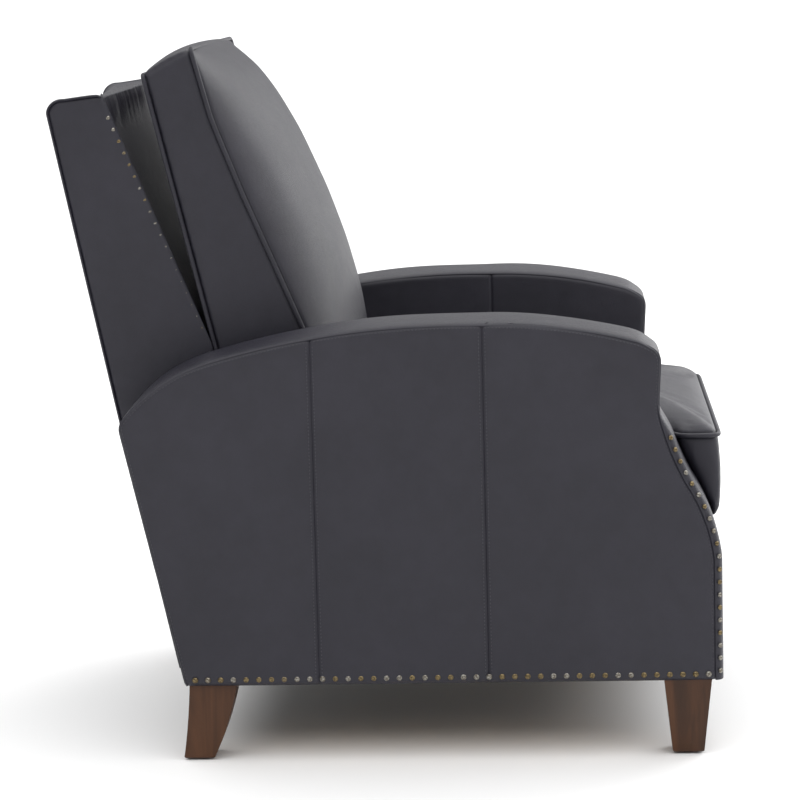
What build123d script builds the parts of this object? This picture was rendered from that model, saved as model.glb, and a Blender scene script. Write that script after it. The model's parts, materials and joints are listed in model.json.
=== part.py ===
"""Push-back recliner armchair: legs, arms, seat, back and a fold-out footrest.

Frame: millimetres, +Z up, the sitter faces -Y and the sitter's left hand is on +X.
The origin is on the floor, under the middle of the chair.
"""

import math
import os

from build123d import *

os.makedirs("parts", exist_ok=True)

# ---------------------------------------------------------------- driving dimensions
chair_width = 770.0
chair_depth = 963.0
chair_height = 1038.0

# Upholstered arms
arm_width = 112.0
arm_height = 634.0            # seam line at the highest point of the arm
base_height = 113.0           # underside of the upholstery
panel_thickness = 12.0        # leather and padding on a flat side
pad_depth = 20.0              # padding between the arm frame and the seam line
pad_crown = 10.0              # how far the top pad stands above its seam line
arm_rise = 177.0              # height of the straight part of the arm front
nose_back = 74.0              # the nose of the arm stands this far behind its foot
rail_width = 44.0             # least width of a wooden rail in the arm frame
lumber = 22.0                 # thickness of the stretchers

# Legs
front_leg_top = 68.0
front_leg_foot = 45.0
rear_leg_top = 69.0
rear_leg_foot = 44.5
leg_edge = 4.0                # leg face stands this far inside the arm's outer face
glide_height = 3.0
glide_diameter = 26.0
bolt_diameter = 8.0
bolt_in_leg = 45.0
bolt_in_frame = 28.0

# Seat
seat_gap = 5.0                # between an arm's inner face and the back or the seat
cushion_underside = 331.0
cushion_edge = 455.0          # height of the upper piping
cushion_crown = 521.0
cushion_ear = 27.0            # the front of the cushion reaches this far past the arm's inner face
seat_frame_height = 40.0
seat_frame_rail = 36.0
seat_rail_face = 222.0        # outer face of the seat's side rails, from the middle
spring_wire = 4.0
spring_count = 5
deck_thickness = 3.0
seat_travel = 60.0            # forward glide of the seat

# Back
back_lean = 11.0              # outside back, from the vertical
wing_lean = 21.9              # front edge of the wings
wing_top = 80.0               # depth of a wing at its top
shell_wall = 12.0
back_post = 45.0
back_cushion_gap = 6.0        # between the back cushion's sides and the back's
back_bottom = 350.0
hinge_y = 320.0
hinge_z = 345.0

# Footrest linkage, with f = distance in front of the origin
steel = 4.0                   # thickness of links and plates
link_gap = 1.0                # side clearance between neighbouring links
link_width = 24.0
link_length = 165.0
front_pivot_f = 330.0
front_pivot_z = 295.0
rear_pivot_back = 88.0        # rear link pivot, behind and below the front one
rear_pivot_down = 10.0
coupler_reach = 22.0          # footrest link pivot, in front of the front link's end
footrest_pivot_f = 398.0
footrest_pivot_z = 310.0
pin_diameter = 10.0
pin_clearance = 0.05          # radial, for a turning pin
head_diameter = 14.0
head_height = 2.0
board_thickness = 18.0
board_height = 200.0
footrest_bottom = 120.0
footrest_pad_thickness = 30.0

# Glides
channel_wall = 4.0
channel_height = 40.0
channel_depth = 21.0
shoe_clearance = 0.5

# Nailheads
nail_diameter = 9.0
nail_pitch = 18.5
nail_edge = 9.5               # from an edge to the middle of a nail
nail_height = 2.4

# ---------------------------------------------------------------- places worked out from them
standing = (Align.CENTER, Align.CENTER, Align.MIN)
hanging = (Align.CENTER, Align.CENTER, Align.MAX)
half_width = chair_width / 2
front_y = -chair_depth / 2
rear_y = chair_depth / 2
arm_inner = half_width - arm_width
frame_outer = half_width - panel_thickness
frame_inner = arm_inner + panel_thickness
arm_front = front_y + 11.5
nose_y = arm_front + nose_back
notch_z = arm_height - 120
shelf_z = base_height + arm_rise
arm_rear_foot = rear_y - 183.5
arm_rear_top = rear_y - 101.5
back_half = arm_inner - seat_gap
back_cushion_edge = back_half - back_cushion_gap
sides = (("left", 1), ("right", -1))


def save(piece, name):
    """Label a finished piece and write it as its own STEP file."""
    piece.part.label = name
    export_step(piece.part, f"parts/{name}.step")


def front_curve(shift):
    """Draws the curved front of an arm from its straight foot to under its nose, moved back by shift."""
    foot = (arm_front + shift, shelf_z)
    middle = (arm_front + shift + 39, notch_z - 114)
    top = (nose_y + shift + 2, notch_z - 17)
    ThreePointArc(foot, (arm_front + shift + 19, shelf_z + 72), middle)
    ThreePointArc(middle, (arm_front + shift + 62, notch_z - 63), top)
    Line(top, (nose_y + shift + 3.5, notch_z))


def arm_outline(grow):
    """Side view of an arm at its seam line, moved out by grow, in (y, z), cut at the base's underside."""
    low = base_height - 80
    nose_low = (nose_y, arm_height - 59)
    nose_high = (nose_y + 10, arm_height - 40)
    crest_front = (nose_y + 31, arm_height - 29.5)
    flat_front = (nose_y + 246, arm_height)
    flat_rear = (nose_y + 296, arm_height)
    crest_rear = (arm_rear_top - 134, arm_height - 47.5)
    shoulder = (arm_rear_top - 7, arm_height - 127)
    corner = (arm_rear_top - 0.5, arm_height - 147)
    with BuildSketch() as outline:
        with BuildLine():
            Line((arm_front, low), (arm_front, shelf_z))
            front_curve(0)
            Line((nose_y + 3.5, notch_z), nose_low)
            ThreePointArc(nose_low, (nose_y + 2.4, arm_height - 48.1), nose_high)
            ThreePointArc(nose_high, (nose_y + 20.3, arm_height - 34.3), crest_front)
            TangentArc(flat_front, crest_front, tangent=(-1, 0))
            Line(flat_front, flat_rear)
            TangentArc(flat_rear, crest_rear, tangent=(1, 0))
            ThreePointArc(crest_rear, (arm_rear_top - 64.7, arm_height - 77.8), shoulder)
            ThreePointArc(shoulder, (arm_rear_top - 1.4, arm_height - 136), corner)
            Line(corner, (arm_rear_foot, base_height))
            Line((arm_rear_foot, base_height), (arm_rear_foot - 24, low))
            Line((arm_rear_foot - 24, low), (arm_front, low))
        make_face()
        if grow:
            offset(amount=grow, kind=Kind.INTERSECTION)
        with Locations((0, base_height)):
            Rectangle(3 * chair_depth, 400, align=(Align.CENTER, Align.MAX), mode=Mode.SUBTRACT)
    return outline.sketch_local


def low_x(sign, near, far):
    """Lower x of a slab that lies between near and far from the middle, on one side."""
    return near if sign > 0 else -far


def opening(y0, y1, z0, z1):
    """Cut a rectangle between two y and two z out of the sketch that is being drawn."""
    with Locations(((y0 + y1) / 2, (z0 + z1) / 2)):
        Rectangle(y1 - y0, z1 - z0, mode=Mode.SUBTRACT)


def keep(y0, y1, z0, z1):
    """Keep only what lies between two y and two z of the sketch that is being drawn."""
    with Locations(((y0 + y1) / 2, (z0 + z1) / 2)):
        Rectangle(y1 - y0, z1 - z0, mode=Mode.INTERSECT)


# ---------------------------------------------------------------- legs, glides and bolts
leg_x = half_width - leg_edge - front_leg_top / 2
front_leg_y = arm_front + 41
rear_leg_front = arm_rear_foot - 75
rear_leg_rear = rear_leg_front + rear_leg_top
rear_foot_y = rear_leg_front + 58.5
rear_bolt_y = rear_leg_front + rear_leg_top / 2
bolt_hole = bolt_diameter / 2 + 0.1
shank_diameter = 5.0
shank_length = 12.0
shank_hole = shank_diameter / 2 + 0.1
leg_feet = [(sign * leg_x, y) for _, sign in sides for y in (front_leg_y, rear_foot_y)]
leg_bolts_at = [(sign * leg_x, y) for _, sign in sides for y in (front_leg_y, rear_bolt_y)]

for side, sign in sides:
    with BuildPart() as front_leg:
        for height, width in ((glide_height, front_leg_foot), (base_height, front_leg_top)):
            with BuildSketch(Plane.XY.offset(height)):
                with Locations((sign * leg_x, front_leg_y)):
                    Rectangle(width, width)
        loft()
        chamfer(front_leg.faces().sort_by(Axis.Z)[0].edges(), 2)
        with Locations((sign * leg_x, front_leg_y, base_height)):
            Cylinder(bolt_hole, bolt_in_leg, align=hanging, mode=Mode.SUBTRACT)
        with Locations((sign * leg_x, front_leg_y, glide_height)):
            Cylinder(shank_hole, shank_length, align=standing, mode=Mode.SUBTRACT)
    save(front_leg, f"front_leg_{side}")

    with BuildPart() as rear_leg:
        with BuildSketch(Plane.YZ.offset(sign * leg_x)):
            with BuildLine():
                foot_front = rear_foot_y - rear_leg_foot / 2
                foot_rear = rear_foot_y + rear_leg_foot / 2
                middle_z = (base_height + glide_height) / 2
                Line((rear_leg_front, base_height), (rear_leg_rear, base_height))
                ThreePointArc(
                    (rear_leg_rear, base_height),
                    ((rear_leg_rear + foot_rear) / 2 - 1.5, middle_z),
                    (foot_rear, glide_height),
                )
                Line((foot_rear, glide_height), (foot_front, glide_height))
                ThreePointArc(
                    (foot_front, glide_height),
                    ((rear_leg_front + foot_front) / 2 - 4, middle_z),
                    (rear_leg_front, base_height),
                )
            make_face()
        extrude(amount=front_leg_top / 2 - 6, both=True)
        chamfer(rear_leg.faces().sort_by(Axis.Z)[0].edges(), 2)
        with Locations((sign * leg_x, rear_bolt_y, base_height)):
            Cylinder(bolt_hole, bolt_in_leg, align=hanging, mode=Mode.SUBTRACT)
        with Locations((sign * leg_x, rear_foot_y, glide_height)):
            Cylinder(shank_hole, shank_length, align=standing, mode=Mode.SUBTRACT)
    save(rear_leg, f"rear_leg_{side}")

with BuildPart() as leg_glides:
    with BuildSketch():
        with Locations(*leg_feet):
            Circle(glide_diameter / 2)
    extrude(amount=glide_height)
    with BuildSketch(Plane.XY.offset(glide_height)):
        with Locations(*leg_feet):
            Circle(shank_diameter / 2)
    extrude(amount=shank_length - 0.5)
save(leg_glides, "leg_glides")

with BuildPart() as leg_bolts:
    with BuildSketch(Plane.XY.offset(base_height - bolt_in_leg + 0.5)):
        with Locations(*leg_bolts_at):
            Circle(bolt_diameter / 2)
    extrude(amount=bolt_in_leg + bolt_in_frame - 1)
save(leg_bolts, "leg_bolts")

# ---------------------------------------------------------------- glide rails: places shared with arm frames
glide_z = shelf_z - 34
shoe_length = 60.0
shoe_rear_y = 110.0
shoe_front_y = -90.0
rail_margin = 15.0
rail_start = shoe_front_y - seat_travel - rail_margin
rail_end = shoe_rear_y + shoe_length + rail_margin
screw_diameter = 4.0
screw_head = 8.0
screw_grip = 16.0
screw_at = [(y, glide_z) for y in (rail_start + 25, (rail_start + rail_end) / 2, rail_end - 25)]
web_inner = frame_inner - channel_wall

# ---------------------------------------------------------------- arms
window_low = base_height + rail_width + 20
window_high = arm_height - 114
inner_panel_low = base_height + 187

for side, sign in sides:
    with BuildPart() as arm_frame:
        with BuildSketch(Plane.YZ.offset(low_x(sign, frame_inner, frame_outer))):
            add(arm_outline(-pad_depth))
            opening(nose_y + 66, -rail_width / 2, window_low, window_high)
            opening(rail_width / 2, arm_rear_foot - rail_width - 4, window_low, window_high)
        extrude(amount=frame_outer - frame_inner)
        with Locations(*[(x, y, base_height) for x, y in leg_bolts_at]):
            Cylinder(bolt_hole, bolt_in_frame, align=standing, mode=Mode.SUBTRACT)
        with BuildSketch(Plane.YZ.offset(low_x(sign, frame_inner, frame_inner + screw_grip))):
            with Locations(*screw_at):
                Circle(screw_diameter / 2 + 0.1)
        extrude(amount=screw_grip, mode=Mode.SUBTRACT)
    save(arm_frame, f"arm_frame_{side}")

    with BuildPart() as outer_panel:
        with BuildSketch(Plane.YZ.offset(low_x(sign, frame_outer, half_width))):
            add(arm_outline(-pad_depth))
        extrude(amount=panel_thickness)
    save(outer_panel, f"arm_outer_panel_{side}")

    with BuildPart() as inner_panel:
        with BuildSketch(Plane.YZ.offset(low_x(sign, arm_inner, frame_inner))):
            add(arm_outline(-pad_depth))
            keep(front_y, rear_y, inner_panel_low, chair_height)
        extrude(amount=panel_thickness)
    save(inner_panel, f"arm_inner_panel_{side}")

    with BuildPart() as top_pad:
        with BuildSketch(Plane.YZ.offset(low_x(sign, arm_inner, half_width))):
            add(arm_outline(pad_crown))
            add(arm_outline(-pad_depth), mode=Mode.SUBTRACT)
            keep(front_y, rear_y, notch_z, chair_height)
        extrude(amount=arm_width)
        rim = top_pad.faces().filter_by(Axis.X).edges()
        crest = [e for e in rim if e.position_at(0.5).Z > arm_height - 8]
        chamfer(crest, pad_crown * 0.6)
    save(top_pad, f"arm_top_pad_{side}")

    for name, y0, y1 in (
        ("arm_front_facing", front_y, -rail_width),
        ("arm_rear_facing", rail_width, rear_y),
    ):
        with BuildPart() as facing:
            with BuildSketch(Plane.YZ.offset(low_x(sign, arm_inner, half_width))):
                add(arm_outline(2))
                add(arm_outline(-pad_depth), mode=Mode.SUBTRACT)
                keep(y0, y1, base_height, notch_z)
            extrude(amount=arm_width)
        save(facing, f"{name}_{side}")

# ---------------------------------------------------------------- base: stretchers, blocks, covers
stretcher_low = base_height + 12
stretcher_height = 90.0
front_stretcher_y = -222.0
rear_stretcher_y = arm_rear_foot - 60
block_leg = 60.0

for name, y in (("front_stretcher", front_stretcher_y), ("rear_stretcher", rear_stretcher_y)):
    with BuildPart() as stretcher:
        with BuildSketch(Plane.XY.offset(stretcher_low)):
            with Locations((0, y)):
                Rectangle(2 * frame_inner, lumber, align=(Align.CENTER, Align.MIN))
        extrude(amount=stretcher_height)
    save(stretcher, name)

with BuildPart() as corner_blocks:
    with BuildSketch(Plane.XY.offset(stretcher_low)):
        for _, sign in sides:
            for y, way in ((front_stretcher_y + lumber, 1), (rear_stretcher_y, -1)):
                x = sign * frame_inner
                with BuildLine():
                    Polyline((x, y), (x - sign * block_leg, y), (x, y + way * block_leg), close=True)
                make_face()
    extrude(amount=block_leg)
save(corner_blocks, "corner_blocks")

with BuildPart() as dust_cover:
    with BuildSketch(Plane.XY.offset(base_height)):
        with Locations((0, front_stretcher_y)):
            Rectangle(
                2 * frame_inner - 4,
                rear_stretcher_y + lumber - front_stretcher_y,
                align=(Align.CENTER, Align.MIN),
            )
    extrude(amount=stretcher_low - base_height)
    with BuildSketch(Plane.XY.offset(base_height + 1.5)):
        with Locations((0, front_stretcher_y + lumber)):
            Rectangle(
                2 * frame_inner + 2,
                rear_stretcher_y - front_stretcher_y - lumber,
                align=(Align.CENTER, Align.MIN),
            )
    extrude(amount=stretcher_low - base_height, mode=Mode.SUBTRACT)
save(dust_cover, "dust_cover")

# Outside back plane: (y, z) at a height, moved in by a depth square to the plane
back_top = chair_height - 99
back_tan = math.tan(math.radians(back_lean))
back_cos = math.cos(math.radians(back_lean))
wing_tan = math.tan(math.radians(wing_lean))


def back_y(z, depth=0.0):
    """y of the outside back plane at height z, moved forward by depth."""
    return rear_y - (back_top - z) * back_tan - depth / back_cos


kick_top = hinge_z - 19
kick_thickness = 15.0
with BuildPart() as kick_panel:
    with BuildSketch(Plane.YZ.offset(-arm_inner)):
        with BuildLine():
            foot = arm_rear_foot + 6
            Polyline(
                (foot, base_height),
                (back_y(kick_top), kick_top),
                (back_y(kick_top) - kick_thickness, kick_top),
                (foot - kick_thickness, base_height),
                close=True,
            )
        make_face()
    extrude(amount=2 * arm_inner)
save(kick_panel, "kick_panel")

for side, sign in sides:
    with BuildPart() as glide_rail:
        with BuildSketch(Plane.XZ.offset(-rail_end)):
            with Locations((sign * (frame_inner - channel_depth / 2), glide_z)):
                Rectangle(channel_depth, channel_height)
            with Locations((sign * (web_inner - channel_depth / 2), glide_z)):
                Rectangle(channel_depth, channel_height - 2 * channel_wall, mode=Mode.SUBTRACT)
        extrude(amount=rail_end - rail_start)
        for near, far, radius in (
            (web_inner, web_inner + 2, screw_head / 2 + 0.1),
            (web_inner + 2, frame_inner, screw_diameter / 2 + 0.1),
        ):
            with BuildSketch(Plane.YZ.offset(low_x(sign, near, far))):
                with Locations(*screw_at):
                    Circle(radius)
            extrude(amount=far - near, mode=Mode.SUBTRACT)
    save(glide_rail, f"glide_rail_{side}")

with BuildPart() as rail_screws:
    for _, sign in sides:
        for near, far, radius in (
            (web_inner, web_inner + 1.9, screw_head / 2),
            (web_inner + 1.9, frame_inner + screw_grip - 0.5, screw_diameter / 2),
        ):
            with BuildSketch(Plane.YZ.offset(low_x(sign, near, far))):
                with Locations(*screw_at):
                    Circle(radius)
            extrude(amount=far - near)
save(rail_screws, "rail_screws")

# ---------------------------------------------------------------- nailheads on the arms
nail_z = base_height + nail_edge
nail_first = arm_front + nail_edge
nail_count = int((arm_rear_foot - 8 - nail_first) / nail_pitch) + 1
bottom_nails = [(nail_first + i * nail_pitch, nail_z) for i in range(nail_count)]
with BuildLine() as nail_path:
    Line((arm_front + nail_edge, nail_z), (arm_front + nail_edge, shelf_z))
    front_curve(nail_edge)
front_wire = nail_path.wires()[0]
front_steps = [i * nail_pitch / front_wire.length for i in range(1, int(front_wire.length / nail_pitch))]
front_nails = [(point.X, point.Y) for point in (front_wire.position_at(step) for step in front_steps)]


def nails(planes_and_points):
    """Nailheads as low cones with flat tops, one for each point of each plane."""
    with BuildPart() as heads:
        for plane, points in planes_and_points:
            with BuildSketch(plane):
                with Locations(*points):
                    Circle(nail_diameter / 2)
            extrude(amount=nail_height, taper=40)
    return heads


def side_plane(sign, x):
    """Plane square to X facing away from the middle; its own x lies along +Y or -Y and its own y along +Z."""
    return Plane(origin=(sign * x, 0, 0), x_dir=(0, sign, 0), z_dir=(sign, 0, 0))


base_nailheads = nails(
    [(side_plane(s, half_width), [(s * y, z) for y, z in bottom_nails + front_nails]) for _, s in sides]
)
save(base_nailheads, "base_nailheads")

# ---------------------------------------------------------------- seat frame, springs, deck, cushion
frame_top = cushion_underside - deck_thickness
frame_low = frame_top - seat_frame_height
seat_frame_front = -365.0
seat_frame_rear = hinge_y - 50
bolt_head = 12.0
seat_bolt = 6.0
seat_bolts_at = [(y, frame_top - 20) for y in (-200.0, 0.0, 180.0)]
plate_inner = seat_rail_face
plate_outer = plate_inner + steel
grip = 26.0
pocket_depth = head_height + 1
front_pivot = (-front_pivot_f, front_pivot_z)
rear_pivot = (-front_pivot_f + rear_pivot_back, front_pivot_z - rear_pivot_down)

with BuildPart() as seat_frame:
    with BuildSketch(Plane.XY.offset(frame_low)):
        middle_y = (seat_frame_front + seat_frame_rear) / 2
        with Locations((0, middle_y)):
            Rectangle(2 * seat_rail_face, seat_frame_rear - seat_frame_front)
            Rectangle(
                2 * (seat_rail_face - seat_frame_rail),
                seat_frame_rear - seat_frame_front - 2 * seat_frame_rail,
                mode=Mode.SUBTRACT,
            )
    extrude(amount=seat_frame_height)
    for _, sign in sides:
        for depth, points, radius in (
            (grip, seat_bolts_at, seat_bolt / 2 + 0.1),
            (pocket_depth, [front_pivot, rear_pivot], head_diameter / 2 + 1),
        ):
            with BuildSketch(Plane.YZ.offset(low_x(sign, seat_rail_face - depth, seat_rail_face))):
                with Locations(*points):
                    Circle(radius)
            extrude(amount=depth, mode=Mode.SUBTRACT)
save(seat_frame, "seat_frame")

spring_end = 12.0
spring_run = seat_frame_rear - seat_frame_front - 2 * seat_frame_rail - 1
spring_waves = 14
spring_width = 36.0
spring_pitch = 2 * (seat_rail_face - seat_frame_rail) / spring_count
spring_z = frame_top - spring_wire
wave = (spring_run - 2 * spring_end) / spring_waves
first_y = seat_frame_front + seat_frame_rail + 0.5
spring_points = [(0, first_y), (0, first_y + spring_end)]
for i in range(spring_waves):
    reach = spring_width / 2 * (1 if i % 2 else -1)
    spring_points += [(reach, first_y + spring_end + wave * (i + share)) for share in (0.2, 0.8)]
spring_points += [(0, first_y + spring_run - spring_end), (0, first_y + spring_run)]
with BuildPart() as spring:
    with BuildLine(Plane.XY.offset(spring_z)) as spring_line:
        FilletPolyline(*spring_points, radius=wave * 0.15)
    with BuildSketch(Plane(origin=(0, first_y, spring_z), z_dir=spring_line.wires()[0] % 0)):
        Circle(spring_wire / 2)
    sweep(path=spring_line.wires()[0])
with BuildPart() as seat_springs:
    with Locations(*[(spring_pitch * (i - (spring_count - 1) / 2), 0, 0) for i in range(spring_count)]):
        add(spring.part)
save(seat_springs, "seat_springs")

with BuildPart() as seat_deck:
    with BuildSketch(Plane.XY.offset(frame_top)):
        with Locations((0, middle_y)):
            Rectangle(2 * seat_rail_face, seat_frame_rear - seat_frame_front)
    extrude(amount=deck_thickness)
save(seat_deck, "seat_deck")

cushion_rear = 130.0
ear_clear = 8.0
crown_side = 65.0             # how far the top of the crown stands in from the cushion's edges
crown_front = 60.0
crown_rear = 240.0
with BuildPart() as seat_cushion:
    with BuildSketch(Plane.XY.offset(cushion_underside)):
        with Locations((0, (front_y + cushion_rear) / 2)):
            Rectangle(2 * back_half, cushion_rear - front_y)
    extrude(amount=cushion_edge - cushion_underside)
    ear_half = arm_inner + cushion_ear
    with BuildSketch(Plane.YZ.offset(-ear_half)):
        with Locations((front_y, cushion_underside)):
            Rectangle(nose_back, cushion_edge - cushion_underside, align=(Align.MIN, Align.MIN))
        add(arm_outline(ear_clear), mode=Mode.SUBTRACT)
    extrude(amount=2 * ear_half)
    for height, side_in, front_in, rear_in in (
        (cushion_edge, 0.0, 0.0, 0.0),
        (cushion_crown, crown_side, crown_front, crown_rear),
    ):
        with BuildSketch(Plane.XY.offset(height)):
            with Locations((0, front_y + front_in)):
                Rectangle(
                    2 * (back_half - side_in),
                    cushion_rear - front_y - front_in - rear_in,
                    align=(Align.CENTER, Align.MIN),
                )
    loft()
save(seat_cushion, "seat_cushion")

# ---------------------------------------------------------------- footrest linkage
# Planes, from the middle outwards: side plate, front and rear links, coupler, footrest link, bracket
link_inner = plate_outer + link_gap
coupler_inner = link_inner + steel + link_gap
footrest_link_inner = coupler_inner + steel + link_gap
bracket_inner = footrest_link_inner + steel + link_gap
pin_hole = pin_diameter / 2 + pin_clearance

front_end = (front_pivot[0], front_pivot[1] - link_length)
rear_end = (rear_pivot[0], rear_pivot[1] - link_length)
coupler_pivot = (front_end[0] - coupler_reach, front_end[1] - 2)
footrest_pivot = (-footrest_pivot_f, footrest_pivot_z)


def link_pair(near, first, last, between=()):
    """Left and right flat links with round ends, with a hole at each end and at each point between them."""
    with BuildPart() as pair:
        for _, sign in sides:
            with BuildSketch(Plane.YZ.offset(low_x(sign, near, near + steel))):
                with BuildLine():
                    Line(first, last)
                trace(line_width=link_width)
                with Locations(first, last):
                    Circle(link_width / 2)
                with Locations(first, last, *between):
                    Circle(pin_hole, mode=Mode.SUBTRACT)
            extrude(amount=steel)
    return pair


front_links = link_pair(link_inner, front_pivot, front_end)
save(front_links, "front_links")
rear_links = link_pair(link_inner, rear_pivot, rear_end)
save(rear_links, "rear_links")
couplers = link_pair(coupler_inner, rear_end, coupler_pivot, between=[front_end])
save(couplers, "couplers")
footrest_links = link_pair(footrest_link_inner, coupler_pivot, footrest_pivot)
save(footrest_links, "footrest_links")

tube_wall = 2.0
torque_tube_at = (front_pivot[0], front_pivot[1] - 100)
footrest_tube_at = tuple((a + b) / 2 for a, b in zip(coupler_pivot, footrest_pivot))
for name, at, diameter, reach in (
    ("torque_tube", torque_tube_at, 20.0, link_inner),
    ("footrest_tube", footrest_tube_at, 16.0, footrest_link_inner),
):
    with BuildPart() as tube:
        with BuildSketch(Plane.YZ.offset(-reach)):
            with Locations(at):
                Circle(diameter / 2)
                Circle(diameter / 2 - tube_wall, mode=Mode.SUBTRACT)
        extrude(amount=2 * reach)
    save(tube, name)


def pins(points, near, far):
    """Rivets through everything between near and far from the middle, with a low head at each end."""
    with BuildPart() as rivets:
        for _, sign in sides:
            for start, end, radius in (
                (near - 0.3, far + 0.3, pin_diameter / 2),
                (near - 0.3 - head_height, near - 0.3, head_diameter / 2),
                (far + 0.3, far + 0.3 + head_height, head_diameter / 2),
            ):
                with BuildSketch(Plane.YZ.offset(low_x(sign, start, end))):
                    with Locations(*points):
                        Circle(radius)
                extrude(amount=end - start)
    return rivets


link_pins = pins([front_pivot, rear_pivot], plate_inner, link_inner + steel)
save(link_pins, "link_pins")
coupler_pins = pins([front_end, rear_end], link_inner, coupler_inner + steel)
save(coupler_pins, "coupler_pins")
middle_pins = pins([coupler_pivot], coupler_inner, footrest_link_inner + steel)
save(middle_pins, "middle_pins")
footrest_pins = pins([footrest_pivot], footrest_link_inner, bracket_inner + steel)
save(footrest_pins, "footrest_pins")

plate_low = glide_z - 16
for side, sign in sides:
    with BuildPart() as side_plate:
        with BuildSketch(Plane.YZ.offset(low_x(sign, plate_inner, plate_outer))):
            with Locations((front_pivot[0] - 22, plate_low)):
                Rectangle(
                    shoe_rear_y + shoe_length + 30 - front_pivot[0] + 22,
                    frame_top - plate_low,
                    align=(Align.MIN, Align.MIN),
                )
            with Locations(front_pivot, rear_pivot):
                Circle(pin_hole, mode=Mode.SUBTRACT)
            with Locations(*seat_bolts_at):
                Circle(seat_bolt / 2 + 0.1, mode=Mode.SUBTRACT)
        extrude(amount=steel)
        fillet(side_plate.edges().filter_by(Axis.X).group_by(Axis.Z)[0], 12)
    save(side_plate, f"side_plate_{side}")

with BuildPart() as plate_bolts:
    for _, sign in sides:
        for near, far, radius in (
            (seat_rail_face - grip + 0.5, plate_outer, seat_bolt / 2),
            (plate_outer, plate_outer + 4, bolt_head / 2),
        ):
            with BuildSketch(Plane.YZ.offset(low_x(sign, near, far))):
                with Locations(*seat_bolts_at):
                    Circle(radius)
            extrude(amount=far - near)
save(plate_bolts, "plate_bolts")

shoe_outer = web_inner - shoe_clearance
shoe_thickness = 14.0
arm_bar = 8.0
shoe_centres = [(y + shoe_length / 2, glide_z) for y in (shoe_front_y, shoe_rear_y)]
for name, near, far, length, height in (
    ("glide_arms", plate_outer, shoe_outer - shoe_thickness, shoe_length - 10, arm_bar),
    ("glide_shoes", shoe_outer - shoe_thickness, shoe_outer, shoe_length,
     channel_height - 2 * channel_wall - 2 * shoe_clearance),
):
    with BuildPart() as blocks:
        for _, sign in sides:
            with BuildSketch(Plane.YZ.offset(low_x(sign, near, far))):
                with Locations(*shoe_centres):
                    Rectangle(length, height)
            extrude(amount=far - near)
    save(blocks, name)

# ---------------------------------------------------------------- footrest
board_back = footrest_pivot_f + 32
board_half = back_half - 3
with BuildPart() as footrest_board:
    with BuildSketch(Plane.XZ.offset(board_back)):
        with Locations((0, footrest_bottom)):
            Rectangle(2 * board_half, board_height, align=(Align.CENTER, Align.MIN))
    extrude(amount=board_thickness)
save(footrest_board, "footrest_board")

with BuildPart() as footrest_pad:
    with BuildSketch(Plane.XZ.offset(board_back + board_thickness)):
        with Locations((0, footrest_bottom - 3)):
            Rectangle(2 * (board_half + 2), board_height + 6, align=(Align.CENTER, Align.MIN))
    extrude(amount=footrest_pad_thickness)
    fillet(footrest_pad.faces().sort_by(Axis.Y)[0].edges(), 9)
save(footrest_pad, "footrest_pad")

with BuildPart() as footrest_brackets:
    for _, sign in sides:
        with BuildSketch(Plane.YZ.offset(low_x(sign, bracket_inner, bracket_inner + steel))):
            with Locations(footrest_pivot):
                Circle(link_width / 2)
            with Locations((footrest_pivot[0], footrest_pivot_z - link_width / 2)):
                Rectangle(board_back - footrest_pivot_f, link_width - 4, align=(Align.MAX, Align.MIN))
            with Locations(footrest_pivot):
                Circle(pin_hole, mode=Mode.SUBTRACT)
        extrude(amount=steel)
        with BuildSketch(Plane.YZ.offset(low_x(sign, plate_outer - 4, bracket_inner + steel))):
            with Locations((-board_back, footrest_pivot_z + link_width / 2 - 4)):
                Rectangle(steel, 70, align=(Align.MIN, Align.MAX))
        extrude(amount=bracket_inner + 2 * steel - plate_outer)
save(footrest_brackets, "footrest_brackets")

# ---------------------------------------------------------------- back frame, webbing, shell, lining
wing_front_top = rear_y - wing_top
shell_top = chair_height - 75
wing_bottom = 588.0


def wing_y(z, recess=0.0):
    """y of the wings' front edge at height z, moved back by recess."""
    return wing_front_top - (shell_top - z) * wing_tan + recess


def wing_outline(wall):
    """Side view of the back: rear plane, rounded top, slanted front; wall moves the rear and the top in."""
    with BuildSketch() as outline:
        with BuildLine():
            top_rear_z = back_top - wall
            low = back_bottom - (60 if wall else 0)
            front_shift = -40 if wall else 0
            Polyline(
                (back_y(low, wall), low),
                (back_y(top_rear_z, wall), top_rear_z),
            )
            ThreePointArc(
                (back_y(top_rear_z, wall), top_rear_z),
                (back_y(top_rear_z, wall) - 7, top_rear_z + 12),
                (rear_y - 24 - wall, shell_top - 7 - wall),
            )
            Polyline(
                (rear_y - 24 - wall, shell_top - 7 - wall),
                (wing_front_top + front_shift, shell_top - wall),
                (wing_y(wing_bottom) + front_shift, wing_bottom),
                (wing_y(wing_bottom) + 48 + front_shift, low),
                (back_y(low, wall), low),
            )
        make_face()
    return outline.sketch_local


with BuildPart() as back_shell:
    with BuildSketch(Plane.YZ.offset(-back_half)):
        add(wing_outline(0))
    extrude(amount=2 * back_half)
    with BuildSketch(Plane.YZ.offset(-back_half + shell_wall)):
        add(wing_outline(shell_wall))
    extrude(amount=2 * (back_half - shell_wall), mode=Mode.SUBTRACT)
save(back_shell, "back_shell")

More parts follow.
